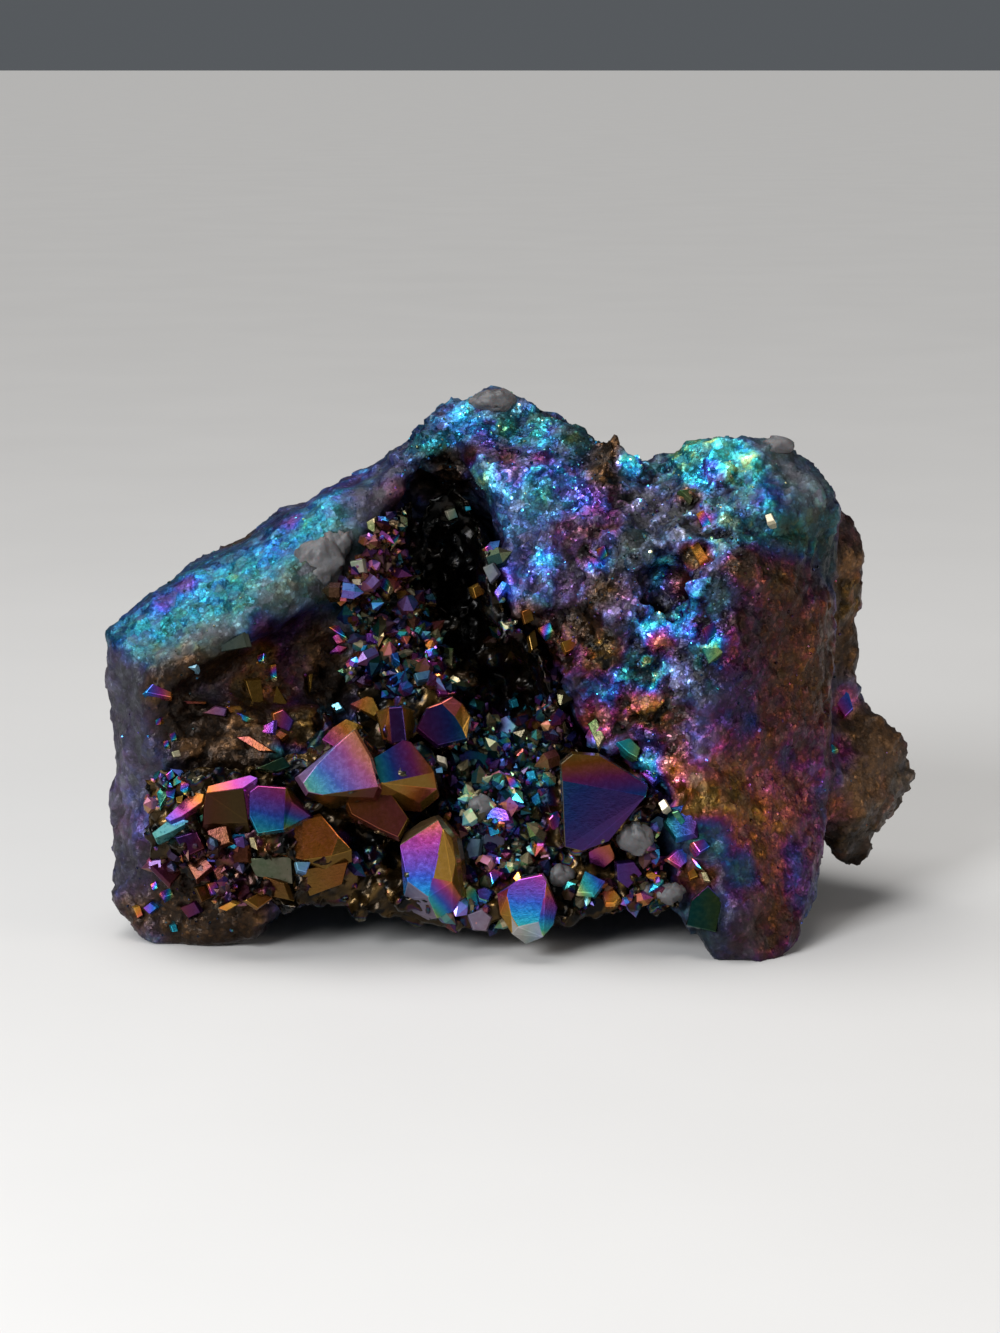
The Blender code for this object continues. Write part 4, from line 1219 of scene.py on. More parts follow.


# The washes' tones hold painted light and shade: the lightest faces carry painted highlights, and faces
# that look down are painted dark as shade under the crystal.
GREAT_CRYSTALS = {
    "left_blade": Crystal(
        ((303, 783), (308, 792), (323, 795), (366, 788), (378, 787), (370, 758), (354, 730), (336, 746),
         (317, 765)),
        (Wash((316, 794), (370, 752), TEAL, ORANGE, 0.72, 0.2),
         Wash((340, 800), (360, 800), GOLD, ORANGE, 0.1),
         Wash((302, 772), (312, 760), PURPLE, VIOLET, 0.3, 0.4)),
        (0.02, -0.93, 0.37),
        (Side((-0.6, -0.7, 0.35), ((304, 783), (298, 776))),
         Side((0.0, -0.8, -0.6), ((366, 788), (374, 798), (330, 804)))),
        4.5,
    ),
    "left_blade_ridge": Crystal(
        ((322, 739), (332, 728), (346, 719), (358, 724), (354, 732), (336, 747)),
        (Wash((330, 742), (352, 722), MAGENTA, GOLD, 0.5),),
        (-0.3, -0.75, 0.6), length=3.0, proud=0.3,
    ),
    "left_blade_neighbour": Crystal(
        ((371, 760), (403, 740), (411, 742), (431, 767), (395, 773), (381, 783)),
        (Wash((382, 772), (427, 758), CYAN, ORANGE, 0.3), Wash((395, 790), (415, 795), GOLD, ORANGE, 0.3),
         Wash((425, 778), (436, 772), GOLD, ORANGE, 0.25)),
        (0.12, -0.75, 0.65),
        (Side((0.15, -0.95, -0.25), ((395, 773), (392, 800), (420, 803), (437, 789), (434, 772))),),
    ),
    "slope_gem": Crystal(
        ((418, 728), (428, 708), (442, 703), (455, 716), (463, 729), (438, 745)),
        (Wash((420, 735), (450, 727), MAGENTA, BLUE, 0.14), Wash((446, 700), (456, 714), PINK, PINK, 0.5),
         Wash((462, 705), (468, 722), ORANGE, GOLD, 0.3)),
        (0.1, -0.93, 0.35),
        (Side((0.6, -0.75, 0.3), ((463, 729), (470, 716), (467, 738))),
         Side((0.25, -0.75, 0.6), ((442, 703), (452, 697), (462, 704)))),
    ),
    "gold_prism": Crystal(
        ((389, 708), (402, 707), (406, 741), (392, 743)),
        (Wash((391, 725), (404, 725), PURPLE, VIOLET, 0.12),
         Wash((379, 722), (387, 724), GOLD, ORANGE, 0.45), Wash((408, 722), (416, 724), GOLD, GOLD, 0.3)),
        (0.0, -0.97, 0.2),
        (Side((-0.75, -0.65, 0.1), ((389, 708), (377, 713), (383, 739))),
         Side((0.75, -0.65, 0.1), ((402, 707), (413, 712), (417, 735)))),
    ),
    "orange_point": Crystal(
        ((350, 704), (367, 696), (373, 698), (379, 711), (374, 716)),
        (Wash((353, 702), (374, 706), PINK, GOLD, 0.5),),
        (-0.15, -0.8, 0.55),
    ),
    "left_prism": Crystal(
        ((250, 792), (258, 786), (286, 788), (292, 802), (278, 824), (258, 833), (250, 816)),
        (Wash((272, 789), (262, 828), MAGENTA, CYAN, 0.5),
         Wash((296, 806), (290, 824), MAGENTA, TEAL, 0.2)),
        (0.03, -0.95, 0.3),
        (Side((0.6, -0.78, 0.15), ((290, 806), (311, 816), (284, 829))),),
    ),
    "ledge_block": Crystal(
        ((206, 793), (208, 786), (250, 775), (258, 778), (243, 788)),
        (Wash((208, 790), (250, 780), ORANGE, PURPLE, 0.5),
         Wash((215, 808), (235, 806), ORANGE, GOLD, 0.05)),
        (0.0, -0.65, 0.75),
        (Side((0.0, -0.99, -0.1), ((206, 793), (203, 824), (248, 822))),),
    ),
    "ledge_blade": Crystal(
        ((165, 818), (186, 798), (194, 792), (204, 794), (202, 802), (182, 816), (170, 821)),
        (Wash((197, 796), (172, 820), ORANGE, VIOLET, 0.55),),
        (-0.3, -0.65, 0.7),
    ),
    "pale_blade": Crystal(
        ((152, 833), (166, 822), (178, 818), (190, 821), (170, 832), (155, 838)),
        (Wash((155, 835), (188, 821), TEAL, CYAN, 0.6, 0.25),),
        (-0.25, -0.72, 0.63),
    ),
    "amber_block": Crystal(
        ((303, 820), (322, 816), (338, 836), (331, 856), (303, 860)),
        (Wash((305, 835), (336, 840), ORANGE, ORANGE, 0.42),
         Wash((276, 845), (303, 840), ORANGE, ORANGE, 0.22),
         Wash((325, 866), (345, 860), GOLD, GOLD, 0.2)),
        (0.25, -0.95, 0.2),
        (Side((-0.5, -0.85, 0.15), ((303, 820), (280, 833), (274, 842), (279, 855))),
         Side((0.4, -0.85, -0.35), ((331, 856), (352, 850), (352, 862), (326, 870)))),
    ),
    "brown_block": Crystal(
        ((345, 797), (370, 789), (388, 790), (408, 818), (398, 837), (378, 828), (352, 814)),
        (Wash((350, 800), (400, 825), ORANGE, PINK, 0.2), Wash((395, 798), (408, 808), GOLD, GOLD, 0.25)),
        (0.1, -0.9, 0.42),
    ),
    "grey_block": Crystal(
        ((248, 859), (291, 857), (292, 884), (256, 876)),
        (Wash((250, 860), (290, 880), GREEN, CREAM, 0.16, 0.3),),
        (0.0, -0.98, 0.15),
    ),
    "gold_block": Crystal(
        ((300, 870), (322, 872), (348, 862), (342, 884), (310, 896)),
        (Wash((302, 880), (345, 872), GOLD, ORANGE, 0.2),),
        (0.1, -0.97, 0.1),
    ),
    "middle_prism": Crystal(
        ((400, 845), (438, 820), (443, 829), (438, 855), (433, 878), (428, 897), (408, 882)),
        (Wash((424, 838), (424, 888), MAGENTA, AZURE, 1.15),
         Wash((446, 850), (446, 870), GOLD, GOLD, 0.45), Wash((438, 912), (460, 893), TEAL, ORANGE, 0.5),
         Wash((408, 900), (420, 912), VIOLET, PURPLE, 0.3, 0.7),
         Wash((404, 836), (420, 826), GOLD, GOLD, 0.12, 0.3)),
        (-0.3, -0.93, 0.2),
        (Side((0.6, -0.78, 0.15), ((441, 840), (452, 838), (456, 862), (452, 882))),
         Side((0.45, -0.85, -0.25), ((433, 878), (456, 886), (461, 897), (452, 912), (437, 918))),
         Side((-0.25, -0.8, -0.55), ((408, 882), (404, 898), (413, 912), (428, 920))),
         Side((-0.3, -0.72, 0.62), ((400, 845), (404, 834), (420, 822), (434, 816)))),
        4.5, 0.6, 1.02,
    ),
    "right_prism": Crystal(
        ((507, 897), (509, 888), (518, 880), (542, 875), (546, 881), (544, 898), (539, 922), (518, 927),
         (511, 916)),
        (Wash((527, 882), (522, 920), PURPLE, CYAN, 1.1),
         Wash((550, 900), (547, 930), MAGENTA, TEAL, 0.5),
         Wash((500, 908), (506, 914), ORANGE, GOLD, 0.4),
         Wash((520, 936), (530, 936), CREAM, TEAL, 0.5, 0.8)),
        (-0.05, -0.98, 0.15),
        (Side((0.7, -0.7, 0.05), ((546, 885), (557, 908), (553, 925), (543, 937))),
         Side((0.0, -0.85, -0.5), ((520, 927), (512, 934), (526, 944), (541, 938))),
         Side((-0.7, -0.7, 0.05), ((508, 900), (497, 894), (500, 914)))),
        4.5, 0.6, 1.02,
    ),
    "great_block": Crystal(
        ((562, 780), (600, 798), (636, 807), (622, 822), (609, 841), (582, 851), (565, 847)),
        (Wash((626, 842), (575, 800), PURPLE, BLUE, 0.15), Wash((602, 797), (598, 752), BLUE, GOLD, 0.26),
         Wash((640, 806), (648, 794), TEAL, CYAN, 0.25)),
        (0.05, -0.98, 0.12),
        (Side((0.12, -0.72, 0.68),
              ((562, 780), (561, 764), (573, 754), (600, 756), (648, 786), (646, 796))),),
        5.0, 0.6, 1.02,
    ),
    "under_block": Crystal(
        ((588, 850), (610, 844), (616, 858), (604, 868), (590, 863)),
        (Wash((592, 866), (612, 848), PURPLE, ORANGE, 0.4),),
        (0.0, -0.97, -0.1),
    ),
    "dark_block": Crystal(
        ((617, 864), (634, 862), (642, 874), (628, 888), (618, 880)),
        (Wash((618, 870), (640, 876), VIOLET, PURPLE, 0.2),),
        (0.1, -0.97, 0.1),
    ),
    "foot_facet": Crystal(
        ((687, 925), (692, 900), (708, 886), (722, 900), (716, 932)),
        (Wash((692, 915), (718, 915), TEAL, GREEN, 0.1), Wash((706, 884), (720, 890), PURPLE, BLUE, 0.6)),
        (-0.1, -0.95, 0.25),
    ),
}
# Chips of tone near 1 and above are painted glints.
SMALL_CRYSTALS = {
    "rim": [
        chip(1.04, PINK, CREAM, 166, 775, 6, -5, 9, 1, 2, 6),
        chip(0.98, CREAM, AZURE, 170, 782, 8, -6, 12, 0, 4, 4),
        chip(0.65, TEAL, GREEN, 157, 792, 8, -8, 11, 0, 3, 14),
        chip(0.98, MAGENTA, CYAN, 166, 790, 10, -2, 8, 8, 1, 6),
        chip(0.59, GOLD, CREAM, 181, 780, 8, 4, 5, 14, -1, 10),
        chip(0.7, GOLD, GOLD, 176, 797, 7, -2, 6, 6, 1, 5),
        chip(0.3, TEAL, GREEN, 199, 811, 17, 0, 18, 10, 1, 10),
        chip(0.78, CYAN, AZURE, 228, 842, 5, -8, 17, -8, 18, 3, 8, 4),
        chip(0.09, PINK, ORANGE, 231, 846, 16, 0, 17, 16, 3, 17),
        chip(0.72, CREAM, CREAM, 249, 838, 5, 0, 8, 12, 2, 9),
        chip(0.6, CYAN, AZURE, 296, 862, 14, 0, 10, 10, 2, 8, bare=0.4),
        chip(0.8, ORANGE, CYAN, 208, 884, 8, -2, 14, 10, 4, 10),
        chip(0.85, PURPLE, AZURE, 143, 908, 7, -5, 13, 0, 6, 6),
        chip(0.78, GOLD, PINK, 134, 908, 6, -2, 9, 7, 4, 10),
        chip(0.65, PINK, CREAM, 160, 892, 10, -4, 13, 2, 4, 5),
        chip(0.78, CYAN, CYAN, 171, 926, 5, -2, 7, 5, 2, 6),
        chip(0.7, ORANGE, GOLD, 218, 908, 12, -6, 18, -3, 8, 3),
        chip(0.09, MAGENTA, PINK, 152, 866, 18, -8, 30, 4, 18, 18),
        chip(0.075, ORANGE, PINK, 186, 862, 14, -10, 26, 4, 10, 18),
        chip(0.12, PINK, ORANGE, 212, 868, 10, -8, 18, 6, 8, 16),
        chip(0.098, GOLD, ORANGE, 196, 888, 14, -4, 18, 8, 6, 14),
        chip(0.06, ORANGE, MAGENTA, 224, 886, 16, -8, 28, 4, 14, 14),
        chip(0.262, GOLD, ORANGE, 246, 900, 16, -8, 26, -2, 12, 8),
        chip(0.112, PINK, PURPLE, 180, 908, 14, -6, 20, 4, 8, 10),
        chip(0.12, VIOLET, PINK, 176, 838, 20, -6, 28, 10, 10, 18),
        chip(0.08, PINK, ORANGE, 206, 828, 20, -2, 24, 14, 6, 20),
        chip(0.5, GOLD, CREAM, 150, 884, 6, -3, 8, 4, 2, 6),
        chip(0.12, ORANGE, GOLD, 262, 876, 22, 8, 28, 24, 8, 20),
    ],
    "middle": [
        chip(0.85, CREAM, CREAM, 458, 799, 7, 3, 13, 31, 6, 35),
        chip(1.17, CREAM, CREAM, 437, 755, 8, 2, 9, 9, 0, 6, bare=0.5),
        chip(1.17, AZURE, CYAN, 434, 770, 8, -3, 9, 3, 0, 3, bare=0.3),
        chip(0.59, AZURE, PURPLE, 483, 818, 5, -8, 14, -11, 23, -8, 27, 2, 12, 4),
        chip(0.25, AZURE, PURPLE, 484, 838, 4, -10, 14, -13, 22, -6, 20, 6, 10, 13, 2, 9, bare=0.6),
        chip(0.78, AZURE, CYAN, 488, 827, 9, -2, 11, 6, 2, 9, proud=0.9),
        chip(0.4, BLUE, CYAN, 458, 842, 6, -4, 22, -3, 20, 14, 6, 16, bare=0.5),
        chip(0.59, GOLD, CREAM, 489, 859, 6, -3, 17, -1, 11, 5, 1, 4),
        chip(1.04, ORANGE, CYAN, 498, 866, 8, 2, -5, 18, -8, 6, proud=0.6),
        chip(0.78, CREAM, AZURE, 466, 890, 4, -4, 10, 0, 12, 14, 7, 22, 1, 8),
        chip(0.4, VIOLET, BLUE, 477, 890, 7, -2, 15, 2, 11, 10, 2, 8),
        chip(0.35, PURPLE, MAGENTA, 468, 915, 14, -5, 23, 3, 18, 15, 6, 14, bare=0.7),
        chip(0.85, ORANGE, GOLD, 513, 878, 5, -7, 8, -1, 3, 3),
        chip(0.25, ORANGE, PINK, 520, 866, 8, -14, 14, -6, 10, 4),
        chip(0.8, GOLD, CREAM, 506, 776, 8, 3, 15, 12, 4, 11),
        chip(0.78, PINK, BLUE, 549, 820, 4, -5, 11, -2, 9, 12, 2, 9),
        chip(0.65, CREAM, ORANGE, 548, 813, 10, -2, 13, 5, 5, 4),
        chip(0.91, CREAM, CYAN, 577, 892, 8, -21, 13, -8, 25, -12, 15, 1),
        chip(1.04, PINK, GOLD, 603, 892, 7, -7, 17, 5, 11, 11, 3, 11, proud=0.5),
        chip(0.7, PURPLE, TEAL, 495, 722, 11, -6, 21, 4, 13, 16, 3, 14, bare=0.4),
        chip(1.04, CYAN, CYAN, 511, 701, 6, -2, 8, 5, 2, 7),
        chip(0.78, AZURE, CREAM, 499, 740, 9, -3, 12, 2, 4, 4),
        chip(0.91, CYAN, CYAN, 526, 772, 8, -2, 10, 6, 2, 8),
        chip(0.85, AZURE, CYAN, 531, 798, 7, -6, 10, 4, 3, 8),
        chip(0.3, PURPLE, TEAL, 446, 762, 24, -12, 46, -5, 42, 8, 16, 12),
        chip(0.4, CREAM, TEAL, 484, 752, 16, 3, 10, 16, 2, 12, bare=0.4),
    ],
    "right": [
        chip(0.98, PINK, CYAN, 668, 859, 10, -9, 20, -10, 22, 0, 13, 8),
        chip(0.78, PINK, AZURE, 693, 842, 11, -3, 17, 4, 7, 10),
        chip(1.04, CREAM, CREAM, 658, 803, 6, -4, 10, 3, 4, 8, bare=0.4),
        chip(0.65, GREEN, TEAL, 672, 813, 6, -2, 13, 8, 9, 12, proud=0.8),
        chip(0.2, TEAL, PURPLE, 665, 822, 7, -14, 23, -18, 33, -4, 29, 12, 11, 16),
        chip(0.6, CYAN, AZURE, 650, 822, 8, -6, 17, -2, 10, 8, bare=0.4),
        chip(0.72, GOLD, ORANGE, 643, 876, 9, -4, 18, 0, 13, 5),
        chip(0.5, PURPLE, VIOLET, 626, 902, 6, -14, 16, -20, 20, -12, 10, 2, bare=0.4),
        chip(0.65, GOLD, CREAM, 690, 856, 7, 6, 13, 14, 6, 10),
        chip(0.78, CREAM, CREAM, 701, 872, 5, 0, 9, 9, 3, 8),
        chip(0.59, ORANGE, GOLD, 688, 872, 6, -4, 10, 4, 2, 7),
        chip(0.7, MAGENTA, BLUE, 640, 772, 8, -4, 20, 4, 12, 12),
        chip(0.25, GREEN, CREAM, 588, 724, 8, -6, 16, 12, 10, 24),
        chip(0.85, CYAN, GREEN, 618, 742, 12, -4, 22, 6, 19, 15, 10, 10),
        chip(0.85, MAGENTA, AZURE, 836, 702, 6, -14, 13, -8, 17, 6, 9, 14),
        chip(0.7, GOLD, CREAM, 696, 514, 7, -4, 16, 12, 9, 18),
        chip(0.6, GOLD, ORANGE, 690, 546, 8, -4, 18, 12, 10, 18),
        chip(1.0, CREAM, CREAM, 765, 515, 6, -2, 9, 5, 2, 7, bare=0.4),
        chip(0.3, GREEN, CREAM, 680, 490, 17, -2, 12, 10),
        chip(0.6, TEAL, GREEN, 702, 648, 14, -6, 18, 2, 6, 12),
        chip(0.4, PINK, TEAL, 704, 628, 10, -6, 13, 6, 4, 12),
        chip(0.6, GOLD, CREAM, 538, 628, 12, -6, 15, 3, 6, 8),
        chip(0.45, GOLD, PINK, 562, 642, 11, -4, 15, 5, 4, 10),
        chip(0.25, ORANGE, GOLD, 522, 612, 9, -4, 12, 8, 3, 12, proud=0.15),
        chip(0.12, GOLD, GOLD, 529, 636, 6, -6, 9, 9, 3, 14, proud=0.15),
        chip(0.3, GOLD, CREAM, 596, 550, 8, -4, 11, 6, 4, 10),
        chip(0.59, PINK, CREAM, 820, 748, 12, -4, 18, 1, 8, 5),
    ],
    "slope": [
        chip(0.8, GREEN, CREAM, 362, 525, 12, -7, 13, 8),
        chip(1.17, GOLD, CREAM, 392, 535, 7, -2, 6, 5, 0, 12),
        chip(0.98, CREAM, CREAM, 352, 579, 15, 0, 14, 6, 2, 5, bare=0.4),
        chip(0.65, GOLD, CREAM, 375, 582, 7, -7, 15, 5, 13, 11),
        chip(0.3, GREEN, CREAM, 350, 562, 12, -2, 14, 10, 3, 12, bare=0.5),
        chip(0.3, CREAM, GREEN, 366, 564, 10, -2, 6, 13, -2, 10, bare=0.5),
        chip(1.04, GOLD, CREAM, 329, 627, 9, -3, 18, 11, 11, 7),
        chip(0.8, MAGENTA, PINK, 332, 637, 6, -4, 11, 5, 5, 7),
        chip(0.8, PURPLE, PINK, 330, 652, 8, -7, 17, -5, 10, 0),
        chip(1.17, AZURE, CYAN, 361, 652, 2, -7, 12, -6, 7, 1),
        chip(0.7, PURPLE, VIOLET, 367, 633, 15, 1, 10, 10, 1, 7),
        chip(0.8, CREAM, GREEN, 382, 642, 6, -5, 9, -2, 3, 5),
        chip(0.59, MAGENTA, PINK, 402, 627, 10, -5, 13, 1, 6, 8),
        chip(0.8, PINK, ORANGE, 403, 636, 8, 0, 4, 9),
        chip(0.59, AZURE, CYAN, 415, 620, 8, 7, 5, 18),
        chip(0.7, TEAL, CYAN, 375, 662, 8, -5, 9, 1, 2, 5),
        chip(0.59, BLUE, AZURE, 392, 653, 6, -1, 8, 9, 2, 5),
        chip(0.91, BLUE, CYAN, 390, 678, 15, -10, 17, -1, 3, 9),
        chip(0.72, PURPLE, PINK, 428, 660, 17, 4, 7, 9),
        chip(0.6, PINK, MAGENTA, 415, 660, 12, -3, 12, 5),
        chip(0.35, CYAN, AZURE, 415, 673, 15, -3, 13, 5, 3, 7, bare=0.3),
        chip(0.25, GREEN, CREAM, 443, 648, 10, 0, 9, 17, 0, 12),
        chip(0.59, GOLD, CREAM, 442, 673, 7, 3, 0, 6),
        chip(0.65, ORANGE, GOLD, 366, 682, 3, -5, 9, 1),
        chip(0.6, PURPLE, MAGENTA, 436, 686, 8, -2, 12, 8, 4, 8),
        chip(1.23, CYAN, CYAN, 331, 705, 7, -3, 11, 3, 4, 6, bare=0.3),
        chip(0.91, PINK, CREAM, 485, 548, 7, -5, 11, 0, 4, 5),
        chip(1.17, GOLD, CREAM, 494, 553, 6, -1, 6, 8, 1, 7),
        chip(0.16, CREAM, VIOLET, 483, 568, 9, -4, 15, 6, 7, 15, bare=0.8),
        chip(0.4, GOLD, ORANGE, 473, 588, 7, -4, 11, 6, 3, 10),
        chip(0.91, VIOLET, AZURE, 494, 592, 8, -11, 13, -8, 4, 6),
        chip(0.91, CYAN, CYAN, 465, 506, 5, -1, 6, 4, 1, 5),
        chip(0.4, CREAM, TEAL, 447, 512, 8, -3, 11, 5, 3, 8, bare=0.5),
    ],
}
# The lightest of these chips are painted glints.
RECESS_CRYSTALS = [
    chip(0.65, AZURE, ORANGE, 146, 692, 7, -8, 25, 0, 25, 5),
    chip(0.049, TEAL, GREEN, 213, 650, 30, -17, 34, -3, 1, 3, bare=0.4, proud=0.1),
    chip(0.78, CYAN, CYAN, 188, 667, 9, -3, 7, 1, bare=0.5),
    chip(0.65, GOLD, CREAM, 257, 655, 7, -2, 6, 6, 1, 6, proud=0.6),
    chip(1.1, GOLD, CREAM, 271, 665, 5, -1, 6, 13, 2, 11, proud=0.7),
    chip(0.21, GOLD, GOLD, 246, 681, 15, -1, 18, 23, 8, 25, proud=0.1),
    chip(0.245, GOLD, GOLD, 277, 686, 12, 20, -4, 20, proud=0.1),
    chip(0.28, GOLD, GOLD, 309, 674, 4, 0, 2, 16),
    chip(0.25, PINK, ORANGE, 184, 701, 22, 1, 22, 3, 0, 3),
    chip(0.35, PINK, PURPLE, 204, 713, 12, -6, 22, -4, 20, 3, bare=0.3),
    chip(0.245, ORANGE, GOLD, 227, 707, 13, -1, 16, 3, 4, 6),
    chip(0.52, PINK, CREAM, 231, 714, 7, -1, 20, 5, 15, 8),
    chip(0.65, PINK, VIOLET, 256, 730, 18, -10, 17, 3, 10, 3),
    chip(0.45, ORANGE, VIOLET, 273, 714, 10, -4, 20, 7, 16, 17, 2, 11),
    chip(0.39, PINK, ORANGE, 274, 728, 13, 6, 7, 11, 2, 7),
    chip(0.15, PINK, ORANGE, 236, 737, 13, -1, 37, 14, 23, 14),
    chip(0.073, GREEN, TEAL, 258, 768, 25, -11, 32, -2, 18, 3, proud=0.1),
    chip(0.59, PINK, CREAM, 170, 734, 5, -2, 7, 5, 2, 6),
    chip(0.52, GOLD, CREAM, 163, 741, 5, -1, 6, 5, 1, 5),
    chip(0.65, CREAM, CREAM, 172, 752, 7, -2, 9, 4, 2, 5, bare=0.3),
    chip(0.39, CREAM, GOLD, 155, 720, 5, -2, 6, 4, 1, 5),
]


@dataclass
class LargeCrystals:
    """The crust's points and blocks that show one by one."""

    edge: float = 0.05
    flat_within: float = 1.0  # Faces this close to one plane become one face, in degrees
    sharp_from: float = 4.0  # Edges with a larger angle than this are rounded, in degrees
    # Painted highlight: how much lighter the bevelled edges are.
    edge_highlight: float = 1.4
    # The colours of the faces that no wash covers.
    hidden: Wash = Wash((0.0, 0.0), (90.0, 30.0), GOLD, PURPLE, 0.1)
    seen_from: float = 0.05  # How far a face looks to the camera to be seen, from 0 to 1
    wash_reach: float = 36.0  # How far a wash reaches, in pixels

    def build(self, name: str, crystals: list[Crystal], surface: BVHTree) -> Piece:
        """Builds crystals as one piece.

        Args:
            name: The piece's name.
            crystals: The crystals.
            surface: What they grow from.

        Returns:
            The piece.
        """
        whole = bmesh.new()
        for layer in ("film", "tone", "bare"):
            whole.loops.layers.float.new(layer)
        for crystal in crystals:
            part = bmesh.new()
            for corner in crystal.corners(surface):
                part.verts.new(corner * MM)
            if len(part.verts):
                self._shape(part)
                self._paint(part, crystal.washes)
            mesh = bpy.data.meshes.new("part")
            part.to_mesh(mesh)
            part.free()
            whole.from_mesh(mesh)
            bpy.data.meshes.remove(mesh)
        return link(name, whole)

    def _shape(self, part: bmesh.types.BMesh) -> None:
        """Turns loose corners into a crystal with flat faces and fine edges.

        Args:
            part: The corners, which become the crystal.
        """
        made = bmesh.ops.convex_hull(part, input=part.verts)
        inside = [item for item in made["geom_interior"] if isinstance(item, bmesh.types.BMVert)]
        bmesh.ops.delete(part, geom=inside, context="VERTS")
        angle = math.radians(self.flat_within)
        bmesh.ops.dissolve_limit(part, angle_limit=angle, verts=part.verts, edges=part.edges)
        bmesh.ops.recalc_face_normals(part, faces=part.faces)
        edges = [edge for edge in part.edges if edge.calc_face_angle(0.0) > math.radians(self.sharp_from)]
        bmesh.ops.bevel(
            part, geom=edges, offset=self.edge * MM, offset_type="OFFSET", affect="EDGES", segments=1,
            profile=0.5, material=1, clamp_overlap=True,
        )

    def _paint(self, part: bmesh.types.BMesh, washes: tuple[Wash, ...]) -> None:
        """Gives every face of a crystal its wash. The bevels, which have material 1, are painted lighter as
        edge highlights.

        Args:
            part: The crystal.
            washes: Its washes.
        """
        film = part.loops.layers.float.new("film")
        tone = part.loops.layers.float.new("tone")
        bare = part.loops.layers.float.new("bare")
        for face in part.faces:
            spot = pixel_of(face.calc_center_median())
            seen = face.normal.dot(VIEW.back()) > self.seen_from
            chosen = min(washes, key=lambda item: item.distance(spot))
            if not seen or chosen.distance(spot) > self.wash_reach:
                chosen = self.hidden
            # Painted highlight on the bevelled edges.
            lift = self.edge_highlight if face.material_index == 1 else 1.0
            face.material_index = 0
            for loop in face.loops:
                loop[film] = chosen.thickness(pixel_of(loop.vert.co))
                loop[tone] = chosen.tone * lift
                loop[bare] = chosen.bare

    def dress(self, piece: Piece, finish: bpy.types.Material, slot: str = "coated_crystals") -> None:
        """Gives the crystals their finish and their place in the frame.

        Args:
            piece: The crystals.
            finish: Their material.
            slot: Not used.
        """
        give_material(piece, finish)
        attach(piece, BODY)


def pixel_of(place: Vector) -> Pixel:
    """The pixel where a place, in metres, shows."""
    column, row = VIEW.pixels(np.array([place]) / MM)[0]
    return (column, row)


@dataclass(frozen=True)
class Field:
    """Where the small crystals of the crust grow, or a hollow, where the ground is painted dark as shade.
    """

    at: Pixel  # The pixel of its middle
    reach: Pixel  # Its half width and half height, in pixels
    density: float  # How densely they grow, from 0 to 1
    tone: float
    film: Film | None = None  # The coating's colour there, or None where it is mixed

    def away(self, spots: np.ndarray) -> np.ndarray:
        """The square of how far pixels are from its middle, with 1 at its reach."""
        return (((spots - np.array(self.at)) / np.array(self.reach)) ** 2).sum(axis=1)


# Their tones hold painted light as well as the crystals' own lightness.
DRUSE_FIELDS = {
    "slope": Field((395, 650), (62, 62), 0.9, 0.15),
    "slope_top": Field((372, 570), (48, 48), 0.75, 0.15, ORANGE),
    "vug_left_edge": Field((370, 510), (30, 50), 0.45, 0.12),
    "vug_right_edge": Field((505, 590), (18, 60), 0.7, 0.3),
    "vug_right_foot": Field((560, 700), (40, 45), 0.4, 0.08),
    "middle": Field((505, 790), (55, 90), 1.0, 0.25, GREEN),
    "middle_foot": Field((480, 890), (35, 45), 0.7, 0.3),
    "right": Field((640, 865), (75, 45), 0.8, 0.35),
    "left_rim": Field((160, 785), (18, 32), 0.3, 0.35),
    "left_foot": Field((205, 880), (65, 40), 0.6, 0.06, ORANGE),
    "left_middle": Field((290, 860), (80, 40), 0.3, 0.12, ORANGE),
}
# Hollows where the ground is painted almost black as shade.
SHADED_HOLLOWS = {
    "vug_top": Field((448, 510), (45, 88), 0.0, 0.012),
    "vug_middle": Field((468, 600), (36, 72), 0.0, 0.015),
    "vug_foot": Field((518, 672), (32, 46), 0.0, 0.04),
}


